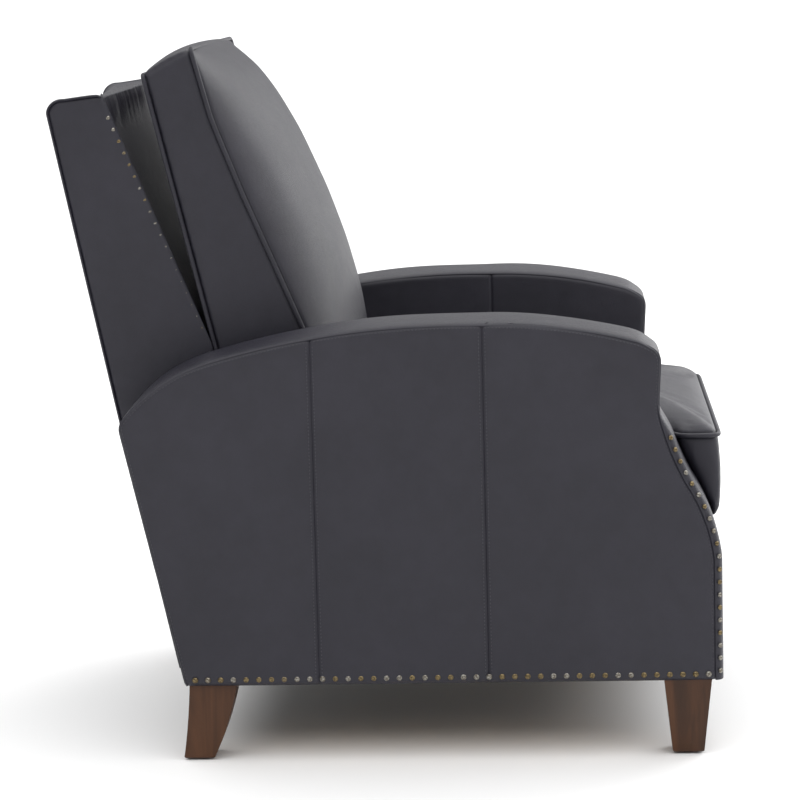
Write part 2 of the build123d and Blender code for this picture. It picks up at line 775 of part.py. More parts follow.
frame_start = back_bottom + 12
frame_half = back_half - shell_wall
frame_run = (back_top - 20 - frame_start) / back_cos
on_back = Plane(
    origin=(0, back_y(frame_start, shell_wall), frame_start),
    x_dir=(1, 0, 0),
    z_dir=(0, -back_cos, math.sin(math.radians(back_lean))),
)
with BuildPart() as back_frame:
    with BuildSketch(on_back):
        Rectangle(2 * frame_half, frame_run, align=(Align.CENTER, Align.MIN))
        with Locations((0, back_post)):
            Rectangle(
                2 * (frame_half - back_post),
                frame_run - 2 * back_post,
                align=(Align.CENTER, Align.MIN),
                mode=Mode.SUBTRACT,
            )
    extrude(amount=back_post)
save(back_frame, "back_frame")

strap_width = 50.0
strap_thickness = 2.0
strap_count = 6
strap_step = (frame_run - 2 * back_post) / strap_count
with BuildPart() as back_webbing:
    with BuildSketch(on_back.offset(back_post)):
        for i in range(strap_count):
            with Locations((0, back_post + strap_step * (i + 0.5))):
                Rectangle(2 * frame_half - 20, strap_width)
    extrude(amount=strap_thickness)
save(back_webbing, "back_webbing")

cushion_low = cushion_edge + 35
cushion_back_tan = 0.2298
cushion_top = chair_height - 50


def cushion_back_y(z):
    """y of the back cushion's rear face at its side, at height z."""
    return rear_y - 139.5 - (cushion_top - z) * cushion_back_tan


lining_depth = shell_wall + back_post + strap_thickness + 0.5
with BuildPart() as back_lining:
    with BuildSketch(Plane.YZ.offset(-frame_half)):
        with BuildLine():
            lining_low = frame_start + 40
            lining_top = shell_top - shell_wall - 8
            lining_rear_top = back_top - 20
            Polyline(
                (back_y(lining_low, lining_depth), lining_low),
                (back_y(lining_rear_top, lining_depth), lining_rear_top),
                (back_y(lining_rear_top, lining_depth), lining_top),
                (wing_y(lining_top, 4), lining_top),
                (wing_y(wing_bottom + 12, 4), wing_bottom + 12),
                (cushion_back_y(cushion_low) + 4, cushion_low),
                (cushion_back_y(cushion_low) + 30, lining_low),
                close=True,
            )
        make_face()
    extrude(amount=2 * frame_half)
save(back_lining, "back_lining")

lumbar_z = cushion_low + 145
edge_section = [
    (cushion_back_y(cushion_low), cushion_low),
    (cushion_back_y(cushion_top), cushion_top),
    (rear_y - 209.5, chair_height - 26),
    (rear_y - 357, lumbar_z),
    (rear_y - 414, cushion_low),
]
crown_section = [
    (cushion_back_y(cushion_low), cushion_low),
    (cushion_back_y(cushion_top) + 4, cushion_top + 14),
    (rear_y - 232, chair_height),
    (rear_y - 437, lumbar_z),
    (rear_y - 447, cushion_low),
]
with BuildPart() as back_cushion:
    for x, section in (
        (-back_cushion_edge, edge_section),
        (0.0, crown_section),
        (back_cushion_edge, edge_section),
    ):
        with BuildSketch(Plane.YZ.offset(x)):
            with BuildLine():
                Polyline(*section, close=True)
            make_face()
    loft()
save(back_cushion, "back_cushion")

wing_nail_z = [shell_top - 33 - i * nail_pitch * math.cos(math.radians(wing_lean)) for i in range(18)]
wing_points = [(wing_y(z, nail_edge), z) for z in wing_nail_z]
wing_nailheads = nails([(side_plane(s, back_half), [(s * y, z) for y, z in wing_points]) for _, s in sides])
save(wing_nailheads, "wing_nailheads")

# ---------------------------------------------------------------- back hinge
hinge = (hinge_y, hinge_z)
hinge_inner = 195.0
hinge_plate_inner = hinge_inner + steel + 2
hinge_round = 12.0
flange_reach = 32.0
under_rail = on_back.from_local_coords(Vector(0, 0, 0))
under_front = on_back.from_local_coords(Vector(0, 0, back_post))

with BuildPart() as hinge_brackets:
    for _, sign in sides:
        with BuildSketch(Plane.YZ.offset(low_x(sign, hinge_inner, hinge_inner + steel))):
            with BuildLine():
                Polyline(
                    (seat_frame_rear, frame_low),
                    (hinge_y + hinge_round, hinge_z),
                    (hinge_y - hinge_round, hinge_z),
                    (seat_frame_rear, frame_top),
                    close=True,
                )
            make_face()
            with Locations(hinge):
                Circle(hinge_round)
            with Locations(hinge):
                Circle(pin_hole, mode=Mode.SUBTRACT)
        extrude(amount=steel)
        with BuildSketch(Plane.XZ.offset(-seat_frame_rear)):
            with Locations((sign * (hinge_inner - flange_reach / 2), (frame_low + frame_top) / 2)):
                Rectangle(flange_reach, seat_frame_height - 4)
        extrude(amount=-steel)
save(hinge_brackets, "hinge_brackets")

with BuildPart() as hinge_plates:
    for _, sign in sides:
        near, far = hinge_plate_inner, hinge_plate_inner + steel
        with BuildSketch(Plane.YZ.offset(low_x(sign, near, far))):
            with BuildLine():
                Polyline(
                    (under_rail.Y, under_rail.Z),
                    (under_front.Y, under_front.Z),
                    (hinge_y - hinge_round, hinge_z),
                    (hinge_y + hinge_round, hinge_z),
                    close=True,
                )
            make_face()
            with Locations(hinge):
                Circle(hinge_round)
            with Locations(hinge):
                Circle(pin_hole, mode=Mode.SUBTRACT)
        extrude(amount=steel)
        with BuildSketch(on_back):
            with Locations((sign * (near + flange_reach / 2), 0)):
                Rectangle(flange_reach, steel, align=(Align.CENTER, Align.MAX))
        extrude(amount=back_post)
save(hinge_plates, "hinge_plates")

hinge_pin_end = hinge_plate_inner + steel + 0.5
with BuildPart() as hinge_pins:
    for _, sign in sides:
        for near, far, radius in (
            (hinge_inner - 0.5, hinge_pin_end, pin_diameter / 2),
            (hinge_inner - 0.5 - head_height, hinge_inner - 0.5, head_diameter / 2),
            (hinge_pin_end, hinge_pin_end + head_height, head_diameter / 2),
        ):
            with BuildSketch(Plane.YZ.offset(low_x(sign, near, far))):
                with Locations(hinge):
                    Circle(radius)
            extrude(amount=far - near)
save(hinge_pins, "hinge_pins")
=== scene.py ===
"""Looks of the push-back recliner: leather upholstery, piping, nailheads, walnut legs and the steel linkage.

Metres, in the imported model's frame: the sitter faces -Y, +Z is up.
"""

import json
import math

import bmesh
import bpy
import numpy as np
from mathutils import Matrix, Vector


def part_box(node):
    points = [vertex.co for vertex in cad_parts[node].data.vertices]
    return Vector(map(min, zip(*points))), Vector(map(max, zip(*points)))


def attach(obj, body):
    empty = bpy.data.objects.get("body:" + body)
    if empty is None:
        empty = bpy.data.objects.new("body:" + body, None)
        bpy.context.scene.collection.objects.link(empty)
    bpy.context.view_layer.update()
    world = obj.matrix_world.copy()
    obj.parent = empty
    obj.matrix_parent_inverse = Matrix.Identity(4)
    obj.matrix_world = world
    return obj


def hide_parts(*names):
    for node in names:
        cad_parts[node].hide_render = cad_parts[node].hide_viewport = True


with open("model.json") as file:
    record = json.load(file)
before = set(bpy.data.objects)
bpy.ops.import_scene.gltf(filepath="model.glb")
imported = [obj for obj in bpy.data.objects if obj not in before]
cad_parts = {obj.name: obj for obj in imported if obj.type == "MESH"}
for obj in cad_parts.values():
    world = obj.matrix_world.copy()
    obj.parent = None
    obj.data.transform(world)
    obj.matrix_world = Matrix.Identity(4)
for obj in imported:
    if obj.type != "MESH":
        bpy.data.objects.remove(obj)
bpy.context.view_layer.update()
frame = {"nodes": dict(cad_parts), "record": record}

# ---------------------------------------------------------------- places, read from the frame
panel_low, panel_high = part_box("arm_outer_panel_left")
inner_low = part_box("arm_inner_panel_left")[0]
shell_low, shell_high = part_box("back_shell")
seat_low, seat_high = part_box("seat_cushion")
back_low, back_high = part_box("back_cushion")
pad_low, pad_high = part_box("footrest_pad")
kick_low, kick_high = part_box("kick_panel")

ARM_OUTER = panel_high.x
ARM_INNER = inner_low.x
BASE = panel_low.z
FRONT = seat_low.y
REAR = shell_high.y
BACK_HALF = shell_high.x
ARM_FRONT = FRONT + 0.0115
ARM_TOP = 0.634
NOSE = ARM_FRONT + 0.074
NOTCH_Z = ARM_TOP - 0.120
SHELF_Z = BASE + 0.177
REAR_TOP = REAR - 0.1015
REAR_FOOT = REAR - 0.1835
SEAM_FRONT = -0.143
SEAM_REAR = 0.102
SIDES = (("left", 1), ("right", -1))

rng = np.random.default_rng(11)


# ---------------------------------------------------------------- curves and meshes
def arc(a, m, b, n=24):
    """n points of the circle through a, m and b, from a to b."""
    (ax, ay), (mx, my), (bx, by) = a, m, b
    d = 2 * (ax * (my - by) + mx * (by - ay) + bx * (ay - my))
    aa, mm, bb = ax * ax + ay * ay, mx * mx + my * my, bx * bx + by * by
    cx = (aa * (my - by) + mm * (by - ay) + bb * (ay - my)) / d
    cy = (aa * (bx - mx) + mm * (ax - bx) + bb * (mx - ax)) / d
    t0, tm, t1 = (math.atan2(y - cy, x - cx) for x, y in (a, m, b))
    turn = (t1 - t0) % (2 * math.pi)
    if (tm - t0) % (2 * math.pi) > turn:
        turn -= 2 * math.pi
    t = t0 + turn * np.linspace(0, 1, n)
    r = math.hypot(ax - cx, ay - cy)
    return np.stack([cx + r * np.cos(t), cy + r * np.sin(t)], 1)


def line(a, b, n=60):
    """Straight polyline of n points."""
    return np.linspace(a, b, n)


def resample(points, n, closed=False):
    """n points evenly spaced along a polyline, open or closed."""
    p = np.asarray(points, float)
    if closed:
        p = np.vstack([p, p[:1]])
    step = np.linalg.norm(np.diff(p, axis=0), axis=1)
    p = p[np.r_[True, step > 1e-7]]
    run = np.r_[0, np.cumsum(np.linalg.norm(np.diff(p, axis=0), axis=1))]
    at = np.linspace(0, run[-1], n, endpoint=not closed)
    return np.stack([np.interp(at, run, p[:, i]) for i in range(p.shape[1])], 1)


def smooth(points, rounds=2, closed=False):
    """Each point moved to the mean of itself and its neighbours, a few times; open ends stay."""
    p = np.array(points, float)
    for _ in range(rounds):
        q = (np.roll(p, 1, 0) + 2 * p + np.roll(p, -1, 0)) / 4
        if not closed:
            q[0], q[-1] = p[0], p[-1]
        p = q
    return p


def arm_path(n=1100):
    """Seam line of an arm in (y, z): up the front, over the nose and the crest, down the rear edge."""
    foot, middle = (ARM_FRONT, SHELF_Z), (ARM_FRONT + 0.039, NOTCH_Z - 0.114)
    under_nose = (NOSE + 0.002, NOTCH_Z - 0.017)
    nose_low, nose_high = (NOSE, ARM_TOP - 0.059), (NOSE + 0.010, ARM_TOP - 0.040)
    crest_front, crest_rear = (NOSE + 0.031, ARM_TOP - 0.0295), (REAR_TOP - 0.134, ARM_TOP - 0.0475)
    flat_front, flat_rear = (NOSE + 0.246, ARM_TOP), (NOSE + 0.296, ARM_TOP)
    shoulder, corner = (REAR_TOP - 0.007, ARM_TOP - 0.127), (REAR_TOP - 0.0005, ARM_TOP - 0.147)
    pieces = [
        np.array([[ARM_FRONT, BASE], [ARM_FRONT, SHELF_Z]]),
        arc(foot, (ARM_FRONT + 0.019, SHELF_Z + 0.072), middle),
        arc(middle, (ARM_FRONT + 0.062, NOTCH_Z - 0.063), under_nose),
        np.array([under_nose, (NOSE + 0.0035, NOTCH_Z), nose_low]),
        arc(nose_low, (NOSE + 0.0024, ARM_TOP - 0.0481), nose_high, 10),
        arc(nose_high, (NOSE + 0.0203, ARM_TOP - 0.0343), crest_front, 10),
        crest_arc(crest_front, flat_front),
        crest_arc(crest_rear, flat_rear)[::-1],
        arc(crest_rear, (REAR_TOP - 0.0647, ARM_TOP - 0.0778), shoulder),
        arc(shoulder, (REAR_TOP - 0.0014, ARM_TOP - 0.136), corner, 10),
        np.array([corner, (REAR_FOOT, BASE)]),
    ]
    return smooth(resample(np.vstack(pieces), n), 4)


def crest_arc(low, high, n=60):
    """Circle from low up to high, level at high."""
    reach, drop = low[0] - high[0], high[1] - low[1]
    radius = (reach * reach + drop * drop) / (2 * drop)
    y = np.linspace(reach, 0, n)
    return np.stack([high[0] + y, high[1] - radius + np.sqrt(radius * radius - y * y)], 1)


def outward(path):
    """Unit normals of a (y, z) path that runs up the front and down the rear, pointing out of the chair."""
    t = np.gradient(path, axis=0)
    t /= np.linalg.norm(t, axis=1)[:, None]
    return np.stack([-t[:, 1], t[:, 0]], 1)


def new_mesh(name, points, quads, tris=None):
    """A smooth-shaded mesh object from arrays of points and of quads."""
    mesh = bpy.data.meshes.new(name)
    loops = quads.ravel()
    sizes = np.full(len(quads), 4, np.int32)
    if tris is not None and len(tris):
        loops = np.r_[loops, tris.ravel()]
        sizes = np.r_[sizes, np.full(len(tris), 3, np.int32)]
    mesh.vertices.add(len(points))
    mesh.vertices.foreach_set("co", np.asarray(points, np.float32).ravel())
    mesh.loops.add(len(loops))
    mesh.loops.foreach_set("vertex_index", loops.astype(np.int32))
    mesh.polygons.add(len(sizes))
    mesh.polygons.foreach_set("loop_start", np.r_[0, np.cumsum(sizes)[:-1]].astype(np.int32))
    mesh.polygons.foreach_set("loop_total", sizes)
    mesh.update(calc_edges=True)
    mesh.polygons.foreach_set("use_smooth", np.ones(len(sizes), bool))
    mesh.validate()
    piece = bpy.data.objects.new(name, mesh)
    bpy.context.scene.collection.objects.link(piece)
    return piece


def cells(nu, nv, wrap_u=False, wrap_v=False, start=0, flip=False):
    """Quads of a grid of nu by nv points that may close on itself either way."""
    i = np.arange(nu if wrap_u else nu - 1)[:, None]
    j = np.arange(nv if wrap_v else nv - 1)[None, :]
    a, b = i * nv + j, ((i + 1) % nu) * nv + j
    c, d = ((i + 1) % nu) * nv + (j + 1) % nv, i * nv + (j + 1) % nv
    q = np.stack([a, b, c, d], -1).reshape(-1, 4) + start
    return q[:, ::-1] if flip else q


def ease(x):
    """Smooth step from 0 to 1."""
    x = np.clip(x, 0, 1)
    return x * x * (3 - 2 * x)


def ripple(a, b, scale, seed):
    """Slow uneven waves over two coordinates, between about -1 and 1: a sum of six plane waves."""
    waves = np.random.default_rng(seed)
    total = np.zeros(np.broadcast(a, b).shape)
    for _ in range(6):
        turn, phase, size = waves.uniform(0, math.tau), waves.uniform(0, math.tau), waves.uniform(0.6, 1.7)
        total += np.sin((a * math.cos(turn) + b * math.sin(turn)) * size / scale + phase)
    return total / 3.5


def tube(name, path, radius, sides=10, closed=True):
    """Round tube along a path: each ring lies square to the path, turned as little as possible."""
    p = np.asarray(path, float)
    n = len(p)
    t = (np.roll(p, -1, 0) - np.roll(p, 1, 0)) if closed else np.gradient(p, axis=0)
    t /= np.linalg.norm(t, axis=1)[:, None]
    first = np.cross(t, np.where(np.abs(t[:, :1]) < 0.9, [[1.0, 0, 0]], [[0, 1.0, 0]]))
    first /= np.linalg.norm(first, axis=1)[:, None]
    second = np.cross(t, first)
    a = np.linspace(0, math.tau, sides, endpoint=False)
    ring = np.cos(a)[None, :, None] * first[:, None] + np.sin(a)[None, :, None] * second[:, None]
    points = (p[:, None] + radius * ring).reshape(-1, 3)
    quads = cells(n, sides, wrap_u=closed, wrap_v=True, flip=True)
    tris = None
    if not closed:
        points = np.vstack([points, p[:1], p[-1:]])
        j = np.arange(sides)
        k = (j + 1) % sides
        head = np.stack([np.full(sides, n * sides), j, k], 1)
        tail = np.stack([np.full(sides, n * sides + 1), (n - 1) * sides + k, (n - 1) * sides + j], 1)
        tris = np.vstack([head, tail])
    return new_mesh(name, points, quads, tris)


def along(curve, t):
    """Points of a polyline at the fractions t of its length."""
    p = np.asarray(curve, float)
    step = np.linalg.norm(np.diff(p, axis=0), axis=1)
    run = np.r_[0, np.cumsum(step)]
    return np.stack([np.interp(t * run[-1], run, p[:, i]) for i in range(p.shape[1])], 1)


def dense_ends(n, share=0.85):
    """n fractions from 0 to 1, packed closer towards both ends."""
    s = np.linspace(0, 1, n)
    return (1 - share) * s + share * (0.5 - 0.5 * np.cos(math.pi * s))


def patch(bottom, top, left, right, nu, nv):
    """Flat Coons patch between four polylines, with its grid lines packed towards the edges."""
    u, v = dense_ends(nu), dense_ends(nv)
    b, t, lft, rgt = along(bottom, u), along(top, u), along(left, v), along(right, v)
    uu, vv = u[:, None, None], v[None, :, None]
    low = (1 - uu) * b[0] + uu * b[-1]
    high = (1 - uu) * t[0] + uu * t[-1]
    corners = (1 - vv) * low + vv * high
    return (1 - vv) * b[:, None] + vv * t[:, None] + (1 - uu) * lft[None] + uu * rgt[None] - corners


def distance_to(grid, curve):
    """Distance of every point of a grid from the nearest point of a dense polyline."""
    flat = grid.reshape(-1, grid.shape[-1])
    near = np.full(len(flat), 9.0)
    for part in np.array_split(curve, max(1, len(curve) // 60)):
        near = np.minimum(near, np.linalg.norm(flat[:, None] - part[None], axis=2).min(1))
    return near.reshape(grid.shape[:-1])


def place_yz(grid, x):
    """Turns a grid of (y, z) and a grid of x into a grid of points."""
    return np.concatenate([x[..., None], grid], -1)


def sheets(name, grids, flip, thickness=0.003):
    """Several grids as one leather skin with its thickness inwards."""
    points, quads, start = [], [], 0
    for grid in grids:
        nu, nv = grid.shape[:2]
        points.append(grid.reshape(-1, 3))
        quads.append(cells(nu, nv, start=start, flip=flip))
        start += nu * nv
    piece = new_mesh(name, np.vstack(points), np.vstack(quads))
    solid = piece.modifiers.new("thickness", "SOLIDIFY")
    solid.thickness = thickness
    solid.offset = -1
    return piece


def strip(path, half, crown, centre=0.0, across=30, power=2.6, tuck=0.003):
    """Grid of a crowned strip carried along a path in (y, z); its edges lie tuck below the path's line."""
    u = np.sin(np.linspace(-1, 1, across) * math.pi / 2)
    height = np.broadcast_to(crown, len(path))[:, None]
    rise = height * (1 - np.abs(u) ** power)[None] ** 0.55 - tuck
    yz = path[:, None] + outward(path)[:, None] * rise[..., None]
    x = np.broadcast_to(centre - half * u, rise.shape)
    return place_yz(yz, x)


def domes(name, centres, normals, radius, height, tones=(0, 1), sides=10, rings=3):
    """Round nailheads as closed domes: each ring is a circle, sunk a little at the rim."""
    c, n = np.asarray(centres, float), np.asarray(normals, float)
    n = n / np.linalg.norm(n, axis=1)[:, None]
    first = np.cross(n, np.where(np.abs(n[:, 2:]) < 0.9, [[0, 0, 1.0]], [[0, 1.0, 0]]))
    first /= np.linalg.norm(first, axis=1)[:, None]
    second = np.cross(n, first)
    a = np.linspace(0, math.tau, sides, endpoint=False)
    up = np.linspace(0, math.pi / 2, rings + 1)[:-1]
    level = np.r_[-0.4, np.sin(up)]
    size = np.r_[0.9, np.cos(up)]
    cosine, sine = np.cos(a)[None, None, :, None], np.sin(a)[None, None, :, None]
    ring = cosine * first[:, None, None] + sine * second[:, None, None]
    p = c[:, None, None] + radius * size[None, :, None, None] * ring
    p = p + height * level[None, :, None, None] * n[:, None, None]
    count, levels = len(c), len(level)
    body = p.reshape(count, -1, 3)
    tip = (c + height * n)[:, None]
    floor_point = (c - 0.4 * height * n)[:, None]
    points = np.concatenate([body, tip, floor_point], 1)
    per = points.shape[1]
    quads = cells(levels, sides, wrap_v=True, flip=True)
    j = np.arange(sides)
    k = (j + 1) % sides
    last = (levels - 1) * sides
    cap = np.stack([np.full(sides, levels * sides), last + j, last + k], 1)
    under = np.stack([np.full(sides, levels * sides + 1), k, j], 1)
    starts = (np.arange(count) * per)[:, None, None]
    piece = new_mesh(
        name,
        points.reshape(-1, 3),
        (quads[None] + starts).reshape(-1, 4),
        (np.vstack([cap, under])[None] + starts).reshape(-1, 3),
    )
    tone = piece.data.attributes.new("tone", "FLOAT", "POINT")
    tone.data.foreach_set("value", np.repeat(rng.uniform(*tones, count), per).astype(np.float32))
    return piece


def stitches(name, rows, pitch=0.0052, length=0.0036, width=0.0009, height=0.0006):
    """Sewn stitches: a slim eight-faced bead at every pitch along rows of (path, normals)."""
    centres, tangents, normals = [], [], []
    for path, normal in rows:
        p = np.asarray(path, float)
        run = np.linalg.norm(np.diff(p, axis=0), axis=1).sum()
        t = (np.arange(int(run / pitch)) + 0.5) * pitch / run
        spot = along(p, t)
        step = 0.3 * pitch / run
        ahead = along(p, np.clip(t + step, 0, 1)) - along(p, np.clip(t - step, 0, 1))
        centres.append(spot)
        tangents.append(ahead / np.linalg.norm(ahead, axis=1)[:, None])
        full = np.broadcast_to(np.asarray(normal, float), p.shape)
        at = along(full + 0.0, t) if len(np.asarray(normal).shape) == 1 else along_like(p, full, t)
        normals.append(at / np.linalg.norm(at, axis=1)[:, None])
    c, t, n = np.vstack(centres), np.vstack(tangents), np.vstack(normals)
    ahead, aside, above = t * length / 2, np.cross(t, n) * width / 2, n * height
    points = np.stack([c + ahead, c - ahead, c + aside, c - aside, c + above, c - above], 1)
    tris = np.array([[0, 4, 2], [0, 3, 4], [0, 5, 3], [0, 2, 5], [1, 2, 4], [1, 4, 3], [1, 3, 5], [1, 5, 2]])
    starts = (np.arange(len(c)) * 6)[:, None, None]
    empty = np.zeros((0, 4), int)
    return new_mesh(name, points.reshape(-1, 3), empty, (tris[None] + starts).reshape(-1, 3))


def along_like(path, values, t):
    """Values given at the points of a path, read at the fractions t of the path's length."""
    step = np.linalg.norm(np.diff(path, axis=0), axis=1)
    run = np.r_[0, np.cumsum(step)] / step.sum()
    return np.stack([np.interp(t, run, values[:, i]) for i in range(values.shape[1])], 1)


def dress(piece, body, slot_name, *replaced):
    """Fixes a piece to its body and hides the nodes it stands for; slot_name is not used."""
    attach(piece, body)
    if replaced:
        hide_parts(*replaced)
    return piece


leather_pieces = []
thread_pieces = []
nail_pieces = []

# ---------------------------------------------------------------- arms
BAND_RISE, NOSE_RISE, REAR_RISE = 0.0105, 0.0020, 0.0038    # band over the seam line: crest, nose, rear edge
FACING_RISE = 0.0125                                        # front strip over the seam line
STRIP_INSET = 0.0015                                        # strips end this far inside the arm's faces
STITCH_AWAY = 0.0045                                        # stitches from their seam
HEM_AWAY = 0.006                                            # ends of the stitch rows from the edges
SIDE_SEAMS = (SEAM_FRONT, SEAM_REAR)
outline = arm_path()
out = outward(outline)
notch_at = int(np.argmin(np.linalg.norm(outline - [NOSE, NOTCH_Z], axis=1)))
nose_at = int(np.argmin(np.linalg.norm(outline - [NOSE + 0.010, ARM_TOP - 0.040], axis=1)))
shoulder_at = int(np.argmin(np.linalg.norm(outline - [REAR_TOP - 0.007, ARM_TOP - 0.127], axis=1)))


def relief(grid, seams, seed, pillow=0.0025):
    """Height of a padded panel over its plane: domed, tucked in at the edge and creased at the seams."""
    y, z = grid[..., 0], grid[..., 1]
    edge = distance_to(grid, outline)
    lift = pillow * (1 - np.exp(-edge / 0.05)) - 0.0050 * np.exp(-((edge / 0.0035) ** 1.5))
    lift = lift - 0.0050 * np.exp(-(((z - BASE) / 0.003) ** 2))
    for seam in seams:
        d = np.abs(y - seam)
        lift = lift - 0.0018 * np.exp(-((d / 0.0022) ** 2)) - 0.0008 * np.exp(-d / 0.012)
    return lift + 0.0008 * ripple(y, z, 0.09, seed)


def crest_at(y):
    """Place in the outline's points of the crest at y."""
    return nose_at + int(np.argmin(np.abs(outline[nose_at:shoulder_at, 0] - y)))


def ruled(left, right, nu=72, nv=170):
    """Grid of straight lines from each point of one polyline to the same share of the other."""
    u, v = dense_ends(nu)[:, None, None], dense_ends(nv, 0.4)
    return (1 - u) * along(left, v)[None] + u * along(right, v)[None]


def arm_panels(cuts):
    """The grids of one side of an arm, between the front, the given vertical seams and the rear."""
    tops = [crest_at(c) for c in cuts]
    seams = [line((c, BASE), outline[k]) for c, k in zip(cuts, tops)]
    grids = [ruled(outline[: tops[0] + 1], seams[0]), ruled(seams[-1], outline[tops[-1] :][::-1])]
    for k in range(len(cuts) - 1):
        base = line((cuts[k], BASE), (cuts[k + 1], BASE))
        grids.append(patch(base, outline[tops[k] : tops[k + 1] + 1], seams[k], seams[k + 1], 72, 80))
    return grids


front_points = outline[: notch_at + 1]
band_points = outline[notch_at:]
arm_centre = (ARM_OUTER + ARM_INNER) / 2
strip_half = (ARM_OUTER - ARM_INNER) / 2 - STRIP_INSET
for side, s in SIDES:
    outer_grids = arm_panels(SIDE_SEAMS)
    outer = [place_yz(g, s * (ARM_OUTER + relief(g, SIDE_SEAMS, 21 + s))) for g in outer_grids]
    piece = sheets(f"arm_side_{side}", outer, flip=s < 0)
    leather_pieces.append(dress(piece, "base", "leather", f"arm_outer_panel_{side}"))

    inner_grids = arm_panels((SEAM_FRONT,))
    lifts = [relief(g, (SEAM_FRONT,), 31 + s, pillow=0.0015) for g in inner_grids]
    inner = [place_yz(g, s * (ARM_INNER - lift)) for g, lift in zip(inner_grids, lifts)]
    piece = sheets(f"arm_lining_{side}", inner, flip=s > 0)
    leather_pieces.append(dress(piece, "base", "leather", f"arm_inner_panel_{side}"))

    run = np.r_[0, np.cumsum(np.linalg.norm(np.diff(band_points, axis=0), axis=1))]
    crown = NOSE_RISE + (BAND_RISE - NOSE_RISE) * ease((run - 0.055) / 0.07)
    crown = crown + (REAR_RISE - crown) * ease((run - run[shoulder_at - notch_at] + 0.10) / 0.12)
    crown = crown + 0.0010 * np.sin(run * 300 + s) * np.exp(-(((run - 0.03) / 0.03) ** 2))
    band = strip(band_points, strip_half, crown, centre=arm_centre)
    band[..., 0] *= s
    band[..., 2] += 0.0008 * ripple(band[..., 0] * 3, band[..., 1], 0.05, 41 + s)
    piece = sheets(f"arm_band_{side}", [band], flip=s < 0)
    leather_pieces.append(dress(piece, "base", "leather", f"arm_top_pad_{side}", f"arm_rear_facing_{side}"))

    below = NOTCH_Z - front_points[:, 1]
    crown = 0.0008 + (FACING_RISE - 0.0008) * ease((below + 0.005) / 0.06)
    facing = strip(front_points, strip_half, crown, centre=arm_centre, power=8.0, tuck=0.002)
    facing[..., 0] *= s
    piece = sheets(f"arm_front_{side}", [facing], flip=s < 0)
    leather_pieces.append(dress(piece, "base", "leather", f"arm_front_facing_{side}"))

    seam_rows = []
    for seam in SIDE_SEAMS:
        for shift in (-STITCH_AWAY, STITCH_AWAY):
            top = outline[crest_at(seam)][1]
            row = line((seam + shift, BASE + HEM_AWAY), (seam + shift, top - HEM_AWAY), 240)
            x = s * (ARM_OUTER + relief(row, SIDE_SEAMS, 21 + s))
            seam_rows.append((place_yz(row, x), (s, 0, 0)))
    row = outline - out * 0.0055
    x = s * (ARM_OUTER + relief(row, SIDE_SEAMS, 21 + s))
    seam_rows.append((place_yz(row, x), (s, 0, 0)))
    piece = stitches(f"arm_stitches_{side}", seam_rows)
    thread_pieces.append(dress(piece, "base", "leather"))

# ---------------------------------------------------------------- back shell: wings, outside back, lining
LEAN = math.tan(math.radians(11))
SLANT = math.tan(math.radians(21.9))
BACK_TOP = shell_high.z - 0.024
SHELL_TOP = shell_high.z
WING_LOW = 0.588              # height at which the wing's front edge bends forward
WING_TOP_DEPTH = 0.080
WING_ROLL = 0.006             # radius of the rolled front edge of a wing
WING_WRAP = 0.010             # leather turned in behind that edge
SHELL_LOW = shell_low.z


def rear_y(z):
    """y of the outside back at height z."""
    return REAR - (BACK_TOP - z) * LEAN


def wing_y(z):
    """y of the front edge of a wing at height z."""
    return REAR - WING_TOP_DEPTH - (SHELL_TOP - z) * SLANT


wing_tip, wing_heel = (wing_y(SHELL_TOP), SHELL_TOP), (wing_y(WING_LOW), WING_LOW)
wing_front = smooth(resample([(wing_heel[0] + 0.048, SHELL_LOW), wing_heel, wing_tip], 300), 60)
rear_corner = arc((REAR - 0.024, SHELL_TOP - 0.007), (REAR - 0.007, SHELL_TOP - 0.012), (REAR, BACK_TOP))
wing_crest = resample(np.vstack([wing_tip, rear_corner]), 80)
wing_rear = line((rear_y(SHELL_LOW), SHELL_LOW), (REAR, BACK_TOP), 200)
wing_base = line(wing_front[0], wing_rear[0])
wing_edge = np.vstack([wing_front, wing_crest, wing_rear[::-1]])
for side, s in SIDES:
    flat = patch(wing_base, wing_crest, wing_front, wing_rear, 90, 150)
    y, z = flat[..., 0], flat[..., 1]
    edge = distance_to(flat, wing_edge[len(wing_front) :])
    front = distance_to(flat, wing_front)
    lift = 0.0015 * (1 - np.exp(-edge / 0.05)) - 0.0035 * np.exp(-((edge / 0.0024) ** 1.5))
    near = np.clip(WING_ROLL - front, 0, WING_ROLL)
    lift = lift - (WING_ROLL - np.sqrt(WING_ROLL**2 - near * near)) + 0.0006 * ripple(y, z, 0.08, 51 + s)
    outer = place_yz(flat, s * (BACK_HALF + lift))
    steps = np.linspace(0, 1, 8)[1:][::-1]
    wrap = np.repeat(outer[:1], len(steps), 0)
    wrap[..., 0] = outer[0, :, 0][None] - s * WING_WRAP * steps[:, None]
    wrap[..., 1] += 0.002 * steps[:, None] ** 2
    piece = sheets(f"wing_{side}", [np.concatenate([wrap, outer])], flip=s < 0)
    leather_pieces.append(dress(piece, "back", "leather"))


def pleats(x):
    """Uneven gathers of leather across the back, between about -1 and 1: a bent wave and a finer one."""
    return 0.6 * np.sin(x * 620 + 1.4 * np.sin(x * 95)) + 0.4 * np.sin(x * 1130)


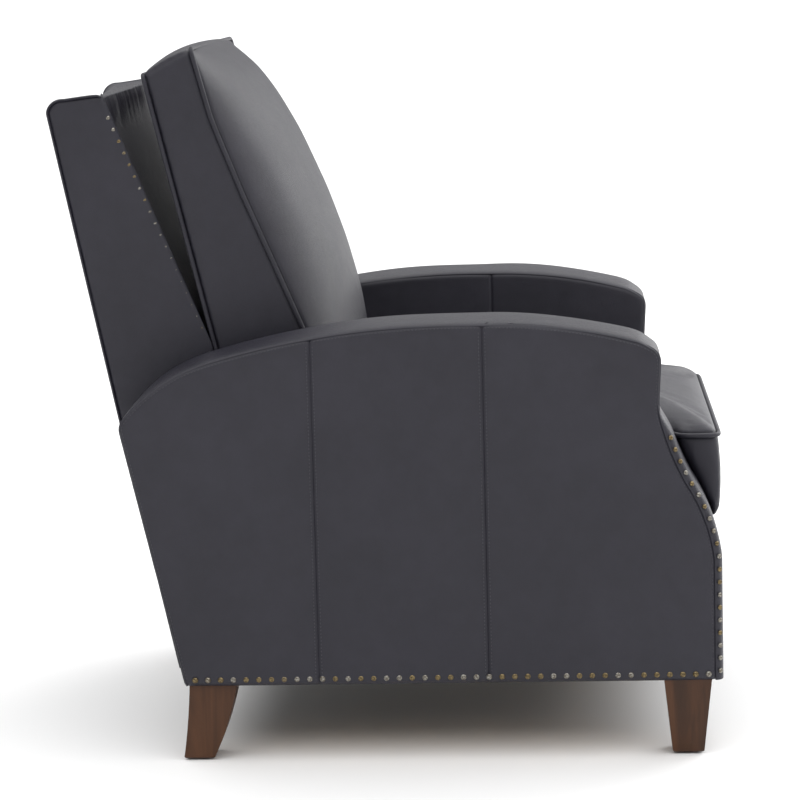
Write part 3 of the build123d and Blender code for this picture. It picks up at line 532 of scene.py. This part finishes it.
rear_path = smooth(resample(np.vstack([wing_rear, wing_crest[::-1]]), 420), 4)
run = np.linspace(0, 1, len(rear_path))
crown = 0.005 + 0.009 * ease((run - 0.78) / 0.1)
outside = strip(rear_path, BACK_HALF - STRIP_INSET, crown, across=80, power=2.4)[:, ::-1]
gather = np.exp(-((1 - run) / 0.022))[:, None]
outside[..., 2] += 0.0022 * gather * pleats(outside[..., 0]) - 0.004 * np.exp(-((1 - run) / 0.006))[:, None]
piece = sheets("outside_back", [outside], flip=False)
leather_pieces.append(dress(piece, "back", "leather", "back_shell"))

lining_path = smooth(
    resample(
        [
            (wing_y(SHELL_TOP) + 0.001, SHELL_TOP - 0.003),
            (wing_y(WING_LOW + 0.01) + 0.004, WING_LOW + 0.01),
            (0.2335, 0.490),
            (0.2600, 0.402),
        ],
        320,
    ),
    10,
)
half = BACK_HALF - 0.0105
u = np.linspace(-1, 1, 140)
run = np.linspace(0, 1, len(lining_path))
sink = 0.010 * (1 - np.abs(u) ** 6)[None] * ease(run / 0.12)[:, None]
gather = np.exp(-run / 0.05)[:, None]
sink = sink + 0.0020 * gather * pleats(half * u)[None]
sink = sink + 0.0010 * ripple(half * u[None], run[:, None] * 0.6, 0.06, 61)
lining_yz = lining_path[:, None] + np.array([1.0, 0.0]) * sink[..., None]
lining = place_yz(lining_yz, np.broadcast_to(half * u, sink.shape))
piece = sheets("back_front_lining", [lining], flip=False)
leather_pieces.append(dress(piece, "back", "leather", "back_lining"))

# ---------------------------------------------------------------- kick panel behind the seat
kick_path = smooth(resample([(kick_low.y + 0.028, kick_low.z), (kick_high.y - 0.001, kick_high.z)], 60), 2)
kick = strip(kick_path, ARM_INNER - 0.0008, 0.004, across=60, power=8.0)[:, ::-1]
KICK_RETURN = np.array([0, 0.03, 0])    # its sides turn forward by this much
kick = np.concatenate([kick[:, :1] - KICK_RETURN, kick, kick[:, -1:] - KICK_RETURN], 1)
piece = sheets("rear_kick", [kick], flip=False)
leather_pieces.append(dress(piece, "base", "leather", "kick_panel"))

# ---------------------------------------------------------------- cushions


def merged(piece, distance=0.0004):
    """Welds the points of a mesh that lie on top of each other."""
    bm = bmesh.new()
    bm.from_mesh(piece.data)
    bmesh.ops.remove_doubles(bm, verts=bm.verts, dist=distance)
    bmesh.ops.recalc_face_normals(bm, faces=bm.faces)
    bm.to_mesh(piece.data)
    bm.free()


def apply_all(piece):
    """Makes the piece's modifiers part of its mesh."""
    depsgraph = bpy.context.evaluated_depsgraph_get()
    mesh = bpy.data.meshes.new_from_object(piece.evaluated_get(depsgraph))
    piece.modifiers.clear()
    piece.data = mesh
    mesh.polygons.foreach_set("use_smooth", np.ones(len(mesh.polygons), bool))


def coordinates(piece):
    """The points of a mesh as an array."""
    co = np.empty(len(piece.data.vertices) * 3, np.float32)
    piece.data.vertices.foreach_get("co", co)
    return co.reshape(-1, 3).astype(float)


def set_coordinates(piece, points):
    """Moves the points of a mesh to the places in an array."""
    piece.data.vertices.foreach_set("co", np.asarray(points, np.float32).ravel())
    piece.data.update()


def nearness(points, curves, reach):
    """1 on any of the curves, falling to 0 at the given distance from them."""
    lengths = [np.linalg.norm(np.diff(c, axis=0), axis=1).sum() for c in curves]
    dense = np.vstack([resample(c, int(length / 0.004) + 2) for c, length in zip(curves, lengths)])
    d = distance_to(points, dense)
    return np.clip(1 - d / reach, 0, 1)


def stuff(piece, seams, cap, pressure=4.0, voxel=0.006, frames=20, held=None):
    """Fills a closed cover: the cloth swells between its sewn edges, which stay where they are."""
    merged(piece)
    remesh = piece.modifiers.new("remesh", "REMESH")
    remesh.mode = "VOXEL"
    remesh.voxel_size = voxel
    apply_all(piece)
    rest = coordinates(piece)
    hold = nearness(rest, seams, 0.010) ** 0.5
    if held is not None:
        hold = np.maximum(hold, held(rest))
    group = piece.vertex_groups.new(name="sewn")
    for level in range(1, 11):
        chosen = np.nonzero(np.round(hold * 10) == level)[0]
        if len(chosen):
            group.add(chosen.tolist(), level / 10, "REPLACE")
    cloth = piece.modifiers.new("cloth", "CLOTH")
    s = cloth.settings
    s.quality = 5
    s.mass = 0.4
    s.tension_stiffness = s.compression_stiffness = 30
    s.shear_stiffness = 15
    s.bending_stiffness = 12.0
    s.use_pressure = True
    s.uniform_pressure_force = pressure
    s.vertex_group_mass = "sewn"
    s.pin_stiffness = 1.0
    s.effector_weights.gravity = 0
    cloth.collision_settings.use_collision = False
    cloth.collision_settings.use_self_collision = False
    cloth.point_cache.frame_start = 1
    cloth.point_cache.frame_end = frames
    scene = bpy.context.scene
    for f in range(1, frames + 1):
        scene.frame_set(f)
    moved = np.array(
        [v.co for v in piece.evaluated_get(bpy.context.evaluated_depsgraph_get()).data.vertices], float
    )
    piece.modifiers.clear()
    piece.vertex_groups.clear()
    step = moved - rest
    size = np.linalg.norm(step, axis=1)[:, None]
    set_coordinates(piece, rest + step * np.minimum(1, cap * np.tanh(size / cap) / np.maximum(size, 1e-9)))
    scene.frame_set(1)


def loft(name, rings):
    """Closed mesh through rings of equal length; the first and the last ring are closed by a fan."""
    p = np.asarray(rings, float)
    nu, nv = p.shape[:2]
    points = np.vstack([p.reshape(-1, 3), p[0].mean(0)[None], p[-1].mean(0)[None]])
    quads = cells(nu, nv, wrap_v=True)
    j = np.arange(nv)
    k = (j + 1) % nv
    first = np.stack([np.full(nv, nu * nv), k, j], 1)
    last = np.stack([np.full(nv, nu * nv + 1), (nu - 1) * nv + j, (nu - 1) * nv + k], 1)
    return new_mesh(name, points, quads, np.vstack([first, last]))


def subdivide(piece):
    """One level of smoothing subdivision, applied."""
    mod = piece.modifiers.new("subdivision", "SUBSURF")
    mod.levels = mod.render_levels = 1
    apply_all(piece)


# Back cushion: a front and a rear panel on a flat border, with piping along both edges of the border.
CUSHION_HALF = back_high.x
CUSHION_LOW = back_low.z + 0.004
side_turns = [
    (0.271, 1.026),
    (0.245, 0.925),
    (0.2005, 0.809),
    (0.164, 0.722),
    (0.1245, 0.626),
    (0.080, 0.520),
    (0.073, CUSHION_LOW),
]
crown_turns = [
    (0.268, 1.029),
    (0.243, 1.019),
    (0.206, 0.990),
    (0.176, 0.950),
    (0.142, 0.890),
    (0.102, 0.798),
    (0.075, 0.720),
    (0.055, 0.642),
    (0.048, 0.595),
    (0.044, 0.530),
    (0.052, CUSHION_LOW),
]
side_front = smooth(resample(side_turns, 90), 6)
crown_front = smooth(resample(crown_turns, 90), 4)
side_rear = resample([(0.228, CUSHION_LOW), (0.342, 0.990)], 60)
crown_rear = resample([(0.226, CUSHION_LOW), (0.262, 0.620), (0.346, 0.995)], 60)


def cushion_section(w, inset=0.0):
    """Ring of the back cushion at the share w of its half width: front down, underside, rear up, top."""
    k = (1 - min(1.0, abs(w)) ** 2.1) ** 0.62
    front = side_front + k * (crown_front - side_front)
    rear = side_rear + k * (crown_rear - side_rear)
    under = line(front[-1], rear[0], 26)[1:-1]
    top = line(rear[-1], front[0], 26)[1:-1]
    rise = np.sin(np.linspace(0, math.pi, 26))[1:-1] ** 0.8
    top[:, 1] += (0.004 + 0.008 * k) * rise
    ring = np.vstack([front, under, rear, top])
    centre = ring.mean(0)
    return centre + (ring - centre) * (1 - inset)


share = np.sin(np.linspace(-1, 1, 61) * math.pi / 2)
places = [(-1, 0.8), (-1, 0.5), (-1, 0.2)] + [(w, 0.0) for w in share] + [(1, 0.2), (1, 0.5), (1, 0.8)]
sections = [(w, cushion_section(w, inset)) for w, inset in places]
rings = [np.c_[np.full(len(section), w * CUSHION_HALF), section] for w, section in sections]
back_cushion = loft("back_cushion_cover", rings)


def border_loop(front):
    """Piping line round the back cushion's front or rear: up one side, across the top, down the other."""
    side = front if front[0, 1] > front[-1, 1] else front[::-1]
    left = np.c_[np.full(len(side), CUSHION_HALF), side]
    right = np.c_[np.full(len(side), -CUSHION_HALF), side]
    return np.vstack([left[::-1], right, left[-1:]])


front_loop = border_loop(side_front)
rear_loop = border_loop(side_rear)
top_sides = [
    np.array([[x, *side_rear[-1]], [x, *side_front[0]]]) for x in (-CUSHION_HALF, CUSHION_HALF)
]


def snug(piece, seams, depth=0.0030, reach=0.007):
    """Draws the cover in along its seams."""
    points = coordinates(piece)
    pull = nearness(points, seams, reach) ** 2
    normals = np.empty(len(points) * 3, np.float32)
    piece.data.vertex_normals.foreach_get("vector", normals)
    set_coordinates(piece, points - normals.reshape(-1, 3) * (depth * pull)[:, None])


def rounded_loop(points, n, rounds):
    """Closed curve through points with its corners rounded."""
    return smooth(resample(points, n, closed=True), rounds, closed=True)


stuff(back_cushion, [front_loop, rear_loop], cap=0.016)
subdivide(back_cushion)
snug(back_cushion, [front_loop, rear_loop], depth=0.0035, reach=0.010)
snug(back_cushion, top_sides, depth=0.0030, reach=0.007)
dress(back_cushion, "back", "leather", "back_cushion")
leather_pieces.append(back_cushion)
for label, loop in (("front", front_loop), ("rear", rear_loop)):
    path = rounded_loop(loop, 900, 14)
    welt = tube(f"back_piping_{label}", path, 0.0034)
    leather_pieces.append(dress(welt, "back", "leather"))

# Seat cushion: T-shaped, with ears in front of the arms.
SEAT_LOW = seat_low.z
SEAT_EDGE = 0.4545
SEAT_HALF = seat_high.x - 0.032
EAR_HALF = seat_high.x
SEAT_REAR = seat_high.y


def ear_y(z):
    """y of the ear's rear side at height z: just in front of the arm's front."""
    y = np.interp(z, front_points[:, 1], front_points[:, 0])
    return max(y - 0.0135, FRONT + 0.010) if z < 0.36 else y - 0.0135


def seat_ring(z, inset=0.0):
    """Outline of the seat cushion at height z, drawn in by inset."""
    e, f, r = ear_y(z), FRONT + inset, SEAT_REAR - inset
    a, b = EAR_HALF - inset, SEAT_HALF - inset
    e = max(e, f + 0.006)
    half = [
        line((0, f), (a, f), 40)[:-1],
        line((a, f), (a, e), 10)[:-1],
        line((a, e), (b, e + 0.004), 5)[:-1],
        line((b, e + 0.004), (b, r), 70)[:-1],
        line((b, r), (0, r), 36),
    ]
    right = np.vstack(half)
    left = right[::-1][1:-1] * [-1, 1]
    return np.vstack([right, left])


def seat_level(z, inset=0.0):
    """Ring of the seat cushion at height z, with its corners rounded."""
    ring = smooth(seat_ring(z, inset), 5, closed=True)
    return np.c_[ring, np.full(len(ring), z)]


def soft_distance(points, closed):
    """Distance from a closed outline, with no ridge where two of its sides are equally near."""
    step = np.linalg.norm(closed - np.roll(closed, 1, 0), axis=1)
    apart = np.linalg.norm(points[:, None] - closed[None], axis=2) + 0.0015
    return ((step / apart**4).sum(1) * 2 / math.pi) ** (-1 / 3)


edge_ring = seat_level(SEAT_EDGE)
outer_edge = resample(edge_ring[:, :2], 1600, closed=True)
levels = [seat_level(SEAT_LOW, 0.012)]
for z, inset in (
    (0.338, 0.004),
    (0.35, 0.0),
    (0.38, -0.002),
    (0.41, -0.002),
    (0.435, 0.0),
    (0.449, 0.001),
    (SEAT_EDGE, 0.001),
):
    levels.append(seat_level(z, inset))
for q in (0.02, 0.05, 0.1, 0.17, 0.26, 0.37, 0.5, 0.65, 0.8, 0.95):
    ring = edge_ring.copy()
    spine = np.c_[ring[:, 0] * 0.55, np.clip(ring[:, 1], -0.33, 0.02), ring[:, 2]]
    inner = ring + q * (spine - ring)
    gap = soft_distance(inner[:, :2], outer_edge)
    inner[:, 2] = SEAT_EDGE + 0.041 * (1 - np.exp(-gap / 0.036))
    levels.append(inner)
seat_cushion = loft("seat_cushion_cover", levels)
seat_seams = [np.vstack([edge_ring, edge_ring[:1]])]


def seat_rests(points):
    """The underside lies on the deck, and the rear end is tucked in."""
    return np.maximum(points[:, 2] < SEAT_LOW + 0.012, points[:, 1] > SEAT_REAR - 0.02).astype(float)


stuff(seat_cushion, seat_seams, cap=0.018, held=seat_rests)
subdivide(seat_cushion)
snug(seat_cushion, seat_seams, depth=0.0035, reach=0.010)
dress(seat_cushion, "seat", "leather", "seat_cushion")
leather_pieces.append(seat_cushion)
welt_path = rounded_loop(edge_ring[:, :3], 900, 10)
welt = tube("seat_piping", welt_path, 0.0036)
leather_pieces.append(dress(welt, "seat", "leather"))

# Footrest pad: a shallow panel with rounded edges, its cover drawn round the edges of the board behind it.
u, v = dense_ends(90)[:, None], dense_ends(50)[None]
pad_width, pad_height = pad_high.x - pad_low.x, pad_high.z - pad_low.z
pad_x = pad_low.x + pad_width * u + 0 * v
pad_z = pad_low.z + pad_height * v + 0 * u
gap = np.minimum(np.minimum(u, 1 - u) * pad_width, np.minimum(v, 1 - v) * pad_height)
PAD_ROUND = 0.022
fall = np.clip(PAD_ROUND - gap, 0, PAD_ROUND)
pad_y = pad_low.y + PAD_ROUND + 0.0005 - np.sqrt(PAD_ROUND**2 - fall**2)
pad_y = pad_y - 0.002 * (1 - np.exp(-gap / 0.04)) + 0.0005 * ripple(pad_x, pad_z, 0.08, 71)
face = np.stack([pad_x, pad_y, pad_z], -1)
rim = np.concatenate([face[:, 0], face[-1, 1:], face[::-1, -1][1:], face[0, ::-1][1:-1]])
back_rim = rim.copy()
back_rim[:, 1] = pad_high.y + 0.0165
count = face.shape[0] * face.shape[1]
front_quads = cells(face.shape[0], face.shape[1])
wall_points = np.stack([rim, back_rim], 1)
wall_quads = cells(len(rim), 2, wrap_u=True, start=count, flip=True)
hub = back_rim.mean(0)[None]
j = np.arange(len(rim))
k = (j + 1) % len(rim)
fan = np.stack([np.full(len(rim), count + 2 * len(rim)), count + 2 * k + 1, count + 2 * j + 1], 1)
footrest_cover = new_mesh(
    "footrest_cover",
    np.vstack([face.reshape(-1, 3), wall_points.reshape(-1, 3), hub]),
    np.vstack([front_quads, wall_quads]),
    fan,
)
merged(footrest_cover, 0.00005)
dress(footrest_cover, "footrest", "leather", "footrest_pad")
leather_pieces.append(footrest_cover)

# ---------------------------------------------------------------- nailheads
PITCH = 0.0185                # from nail to nail
NAIL_EDGE = 0.0095            # bottom row above the lower edge
FACING_NAIL_EDGE = 0.0052     # front row in front of the seam line
base_nails, base_normals = [], []
front_nails, front_normals = [], []
bottom_y = np.arange(ARM_FRONT + 0.012, REAR_FOOT - 0.002, PITCH)
front_row = resample(front_points[::-1], 400)
front_run = np.linalg.norm(np.diff(front_row, axis=0), axis=1).sum()
front_steps = np.arange(0.050, front_run - 0.012, PITCH) / front_run
front_row = along(front_row, front_steps)
front_out = along_like(front_points[::-1], outward(front_points)[::-1], front_steps)
for _, s in SIDES:
    for y in bottom_y:
        base_nails.append((s * (ARM_OUTER + 0.0013), y, BASE + NAIL_EDGE))
        base_normals.append((s, 0, 0))
    for (y, z), (ny, nz) in zip(front_row, front_out):
        front_nails.append((s * (ARM_OUTER - 0.0010), y + FACING_NAIL_EDGE * ny, z + FACING_NAIL_EDGE * nz))
        front_normals.append((s * 0.86, 0.5 * ny, 0.5 * nz))
heads = domes("nails_base", base_nails, base_normals, 0.0046, 0.0024)
nail_pieces.append(dress(heads, "base", "antique_brass", "base_nailheads"))
heads = domes("nails_fronts", front_nails, front_normals, 0.0037, 0.0020)
nail_pieces.append(dress(heads, "base", "antique_brass"))
wing_z = np.arange(SHELL_TOP - 0.033, WING_LOW + 0.018, -PITCH * math.cos(math.radians(21.9)))
wing_nails = [(s * (BACK_HALF - 0.0008), wing_y(z) + 0.0052, z) for _, s in SIDES for z in wing_z]
wing_normals = [(s, -0.2, 0.0) for _, s in SIDES for z in wing_z]
heads = domes("nails_wings", wing_nails, wing_normals, 0.0034, 0.0020, tones=(0, 0.4))
nail_pieces.append(dress(heads, "back", "antique_brass", "wing_nailheads"))


# ---------------------------------------------------------------- materials
class Wire:
    """A shader value; arithmetic on it adds Math nodes to its material."""

    def __init__(self, shader, socket):
        self.shader, self.socket = shader, socket

    def math(self, kind, *values):
        made = self.shader.node("ShaderNodeMath", dict(enumerate(values)), operation=kind)
        return Wire(self.shader, made.outputs[0])

    def __add__(self, other):
        return self.math("ADD", self, other)

    def __sub__(self, other):
        return self.math("SUBTRACT", self, other)

    def __rsub__(self, other):
        return self.math("SUBTRACT", other, self)

    def __mul__(self, other):
        return self.math("MULTIPLY", self, other)

    def above(self, low, high):
        """0 below low, 1 above high, smooth between."""
        made = self.shader.node(
            "ShaderNodeMapRange", {0: self, 1: low, 2: high}, interpolation_type="SMOOTHSTEP"
        )
        return Wire(self.shader, made.outputs[0])

    __radd__ = __add__
    __rmul__ = __mul__


class Shader:
    """The node tree of one material around a Principled BSDF."""

    def __init__(self, name, **fixed):
        self.material = bpy.data.materials.new(name)
        self.material.use_nodes = True
        self.tree = self.material.node_tree
        self.surface = self.tree.nodes["Principled BSDF"]
        for key, value in fixed.items():
            self.surface.inputs[key.replace("_", " ")].default_value = value
        self.place = self.wire("ShaderNodeTexCoord", "Object")

    def node(self, kind, inputs=None, **settings):
        made = self.tree.nodes.new(kind)
        for key, value in settings.items():
            setattr(made, key, value)
        for key, value in (inputs or {}).items():
            if isinstance(value, Wire):
                self.tree.links.new(value.socket, made.inputs[key])
            else:
                made.inputs[key].default_value = value
        return made

    def wire(self, kind, output=0, inputs=None, **settings):
        return Wire(self, self.node(kind, inputs, **settings).outputs[output])

    def noise(self, scale, detail=2.0, rough=0.5, stretch=None, distortion=0.0):
        where = self.place
        if stretch:
            where = self.wire("ShaderNodeMapping", 0, {"Vector": where, "Scale": stretch})
        values = {"Vector": where, "Scale": scale, "Detail": detail, "Roughness": rough}
        values["Distortion"] = distortion
        return self.wire("ShaderNodeTexNoise", 0, values)

    def blend(self, amount, low, high):
        """Colour between low and high."""
        made = self.node("ShaderNodeMix", {0: amount, 6: low, 7: high}, data_type="RGBA")
        return Wire(self, made.outputs[2])

    def set(self, name, value):
        self.tree.links.new(value.socket, self.surface.inputs[name])

    def bump(self, height, distance, strength=1.0):
        values = {"Height": height, "Distance": distance, "Strength": strength}
        self.set("Normal", self.wire("ShaderNodeBump", 0, values))


def colour(r, g, b):
    """Opaque colour."""
    return (r, g, b, 1.0)


def leather_material():
    m = Shader("slate_leather")
    broad = m.noise(7.0, 3.0, 0.55)
    cloudy = m.noise(38.0, 3.0, 0.6)
    where = {"Vector": m.place, "Scale": 760.0}
    pores = m.wire("ShaderNodeTexVoronoi", "Distance", where, feature="DISTANCE_TO_EDGE")
    fine = m.noise(900.0, 2.0, 0.6)
    creases = m.noise(70.0, 4.0, 0.65, distortion=0.6)
    tone = broad.above(0.3, 0.7) * 0.55 + cloudy.above(0.3, 0.7) * 0.45
    m.set("Base Color", m.blend(tone, colour(0.0156, 0.0148, 0.0220), colour(0.0222, 0.0210, 0.0305)))
    m.set("Roughness", cloudy * 0.12 + fine * 0.06 + 0.34)
    m.bump(pores.above(0.0, 0.22) * 0.35 + fine * 0.25 + creases * 1.1, 0.0006, 0.55)
    m.surface.inputs["Specular IOR Level"].default_value = 0.38
    return m.material


def thread_material():
    m = Shader("waxed_thread", Roughness=0.55)
    tone = m.noise(700.0)
    m.set("Base Color", m.blend(tone, colour(0.030, 0.029, 0.036), colour(0.075, 0.073, 0.085)))
    return m.material


def brass_material():
    m = Shader("antique_brass", Metallic=1.0)
    tone = m.wire("ShaderNodeAttribute", "Fac", attribute_name="tone")
    wear = m.noise(420.0, 3.0)
    gold = m.blend(tone.above(0.22, 0.32), colour(0.30, 0.29, 0.26), colour(0.215, 0.165, 0.085))
    m.set("Base Color", m.blend(wear.above(0.38, 0.62) * 0.75, gold, colour(0.075, 0.055, 0.035)))
    m.set("Roughness", wear * 0.25 + 0.22)
    m.bump(wear, 0.0002, 0.4)
    return m.material


def walnut_material():
    m = Shader("walnut_stain", Specular_IOR_Level=0.3)
    grain = m.noise(26.0, 4.0, 0.6, stretch=(1.0, 1.0, 0.10), distortion=0.8)
    pores = m.noise(520.0, 2.0, 0.6, stretch=(1.0, 1.0, 0.035))
    tone = grain.above(0.30, 0.72) * 0.8 + pores * 0.2
    m.set("Base Color", m.blend(tone, colour(0.028, 0.0110, 0.0045), colour(0.095, 0.037, 0.014)))
    m.set("Roughness", pores * 0.15 + 0.34)
    m.bump(pores * 0.7 + grain * 0.3, 0.0003, 0.35)
    return m.material


def timber_material():
    m = Shader("bare_hardwood")
    grain = m.noise(20.0, 4.0, 0.6, stretch=(1.0, 0.12, 1.0), distortion=0.6)
    m.set("Base Color", m.blend(grain.above(0.3, 0.7), colour(0.38, 0.24, 0.125), colour(0.60, 0.43, 0.26)))
    m.set("Roughness", grain * 0.1 + 0.6)
    m.bump(grain, 0.0004, 0.3)
    return m.material


def smooth_material(name, low, high, metallic, roughness, scale=300.0):
    m = Shader(name, Metallic=metallic)
    spots = m.noise(scale, 3.0, 0.6)
    m.set("Base Color", m.blend(spots, colour(*low), colour(*high)))
    m.set("Roughness", spots * 0.15 + roughness)
    m.bump(spots, 0.00015, 0.3)
    return m.material


def cloth_material(name, low, high, scale):
    m = Shader(name, Roughness=0.9)
    weave = m.noise(scale, 2.0, 0.7)
    m.set("Base Color", m.blend(weave, colour(*low), colour(*high)))
    m.bump(weave, 0.0005, 0.6)
    return m.material


leather = leather_material()
thread = thread_material()
brass = brass_material()
by_slot = {
    "leather": leather,
    "walnut": walnut_material(),
    "frame_wood": timber_material(),
    "black_steel": smooth_material(
        "black_powder_coat", (0.018, 0.018, 0.019), (0.032, 0.032, 0.034), 0.0, 0.42, 900.0
    ),
    "zinc_steel": smooth_material("zinc_plate", (0.42, 0.42, 0.43), (0.60, 0.60, 0.60), 1.0, 0.28),
    "nylon": smooth_material("nylon", (0.045, 0.045, 0.045), (0.065, 0.065, 0.065), 0.0, 0.55),
    "black_cloth": cloth_material("dust_cloth", (0.012, 0.012, 0.012), (0.030, 0.030, 0.030), 1200.0),
    "webbing": cloth_material("elastic_webbing", (0.22, 0.13, 0.05), (0.40, 0.26, 0.12), 900.0),
    "antique_brass": brass,
}
slot_of = {entry["node"]: entry["material_slot"] for entry in frame["record"]["subparts"]}


def paint(piece, material):
    """Gives a piece one material."""
    piece.data.materials.clear()
    piece.data.materials.append(material)


for name, node in frame["nodes"].items():
    paint(node, by_slot[slot_of[name]])
for piece in leather_pieces:
    paint(piece, leather)
for piece in thread_pieces:
    paint(piece, thread)
for piece in nail_pieces:
    paint(piece, brass)

# ---------------------------------------------------------------- floor, light and camera
FLOOR_REACH = 120.0
corners = FLOOR_REACH * np.array([(-1, -1, 0), (1, -1, 0), (1, 1, 0), (-1, 1, 0)], float)
floor = new_mesh("floor", corners, np.array([[0, 1, 2, 3]]))
pale = Shader("pale_floor", Roughness=0.9)
pale.surface.inputs["Base Color"].default_value = colour(0.86, 0.86, 0.86)
pale.surface.inputs["Specular IOR Level"].default_value = 0.1
paint(floor, pale.material)

bpy.context.scene.view_settings.view_transform = "Standard"
world = bpy.data.worlds.new("studio")
bpy.context.scene.world = world
world.use_nodes = True
world.node_tree.nodes["Background"].inputs["Color"].default_value = colour(1, 1, 1)
world.node_tree.nodes["Background"].inputs["Strength"].default_value = 0.40


def lamp(kind, name, place, target, energy, **settings):
    """A light at a place, aimed at a target, and not itself in the picture."""
    light = bpy.data.lights.new(name, kind)
    light.energy = energy
    for key, value in settings.items():
        setattr(light, key, value)
    holder = bpy.data.objects.new(name, light)
    aim = (Vector(target) - Vector(place)).to_track_quat("-Z", "Y")
    holder.matrix_world = Matrix.Translation(place) @ aim.to_matrix().to_4x4()
    holder.visible_camera = False
    bpy.context.scene.collection.objects.link(holder)
    return holder


lamp("SUN", "overhead", (0, 0, 6), (-0.2, 0.8, 0), 3.75, angle=math.radians(120))
lamp("AREA", "far_side", (3.4, -3.0, 2.2), (0, 0, 0.5), 90.0, size=3.0)

YAW, PITCH_DOWN, ROLL = math.radians(3.20), math.radians(8.80), math.radians(-1.51)
level = math.cos(PITCH_DOWN)
forward = Vector((math.cos(YAW) * level, math.sin(YAW) * level, -math.sin(PITCH_DOWN)))
right = forward.cross(Vector((0, 0, 1))).normalized()
up = right.cross(forward)
rolled_right = right * math.cos(ROLL) + up * math.sin(ROLL)
rolled_up = up * math.cos(ROLL) - right * math.sin(ROLL)
camera_data = bpy.data.cameras.new("camera")
camera_data.lens = 128.5
camera_data.sensor_width = 36.0
camera_data.clip_end = 400.0
camera = bpy.data.objects.new("camera", camera_data)
turn = Matrix((rolled_right, rolled_up, -forward)).transposed().to_4x4()
camera.matrix_world = Matrix.Translation((-4.386, -0.249, 1.148)) @ turn
bpy.context.scene.collection.objects.link(camera)
bpy.context.scene.camera = camera
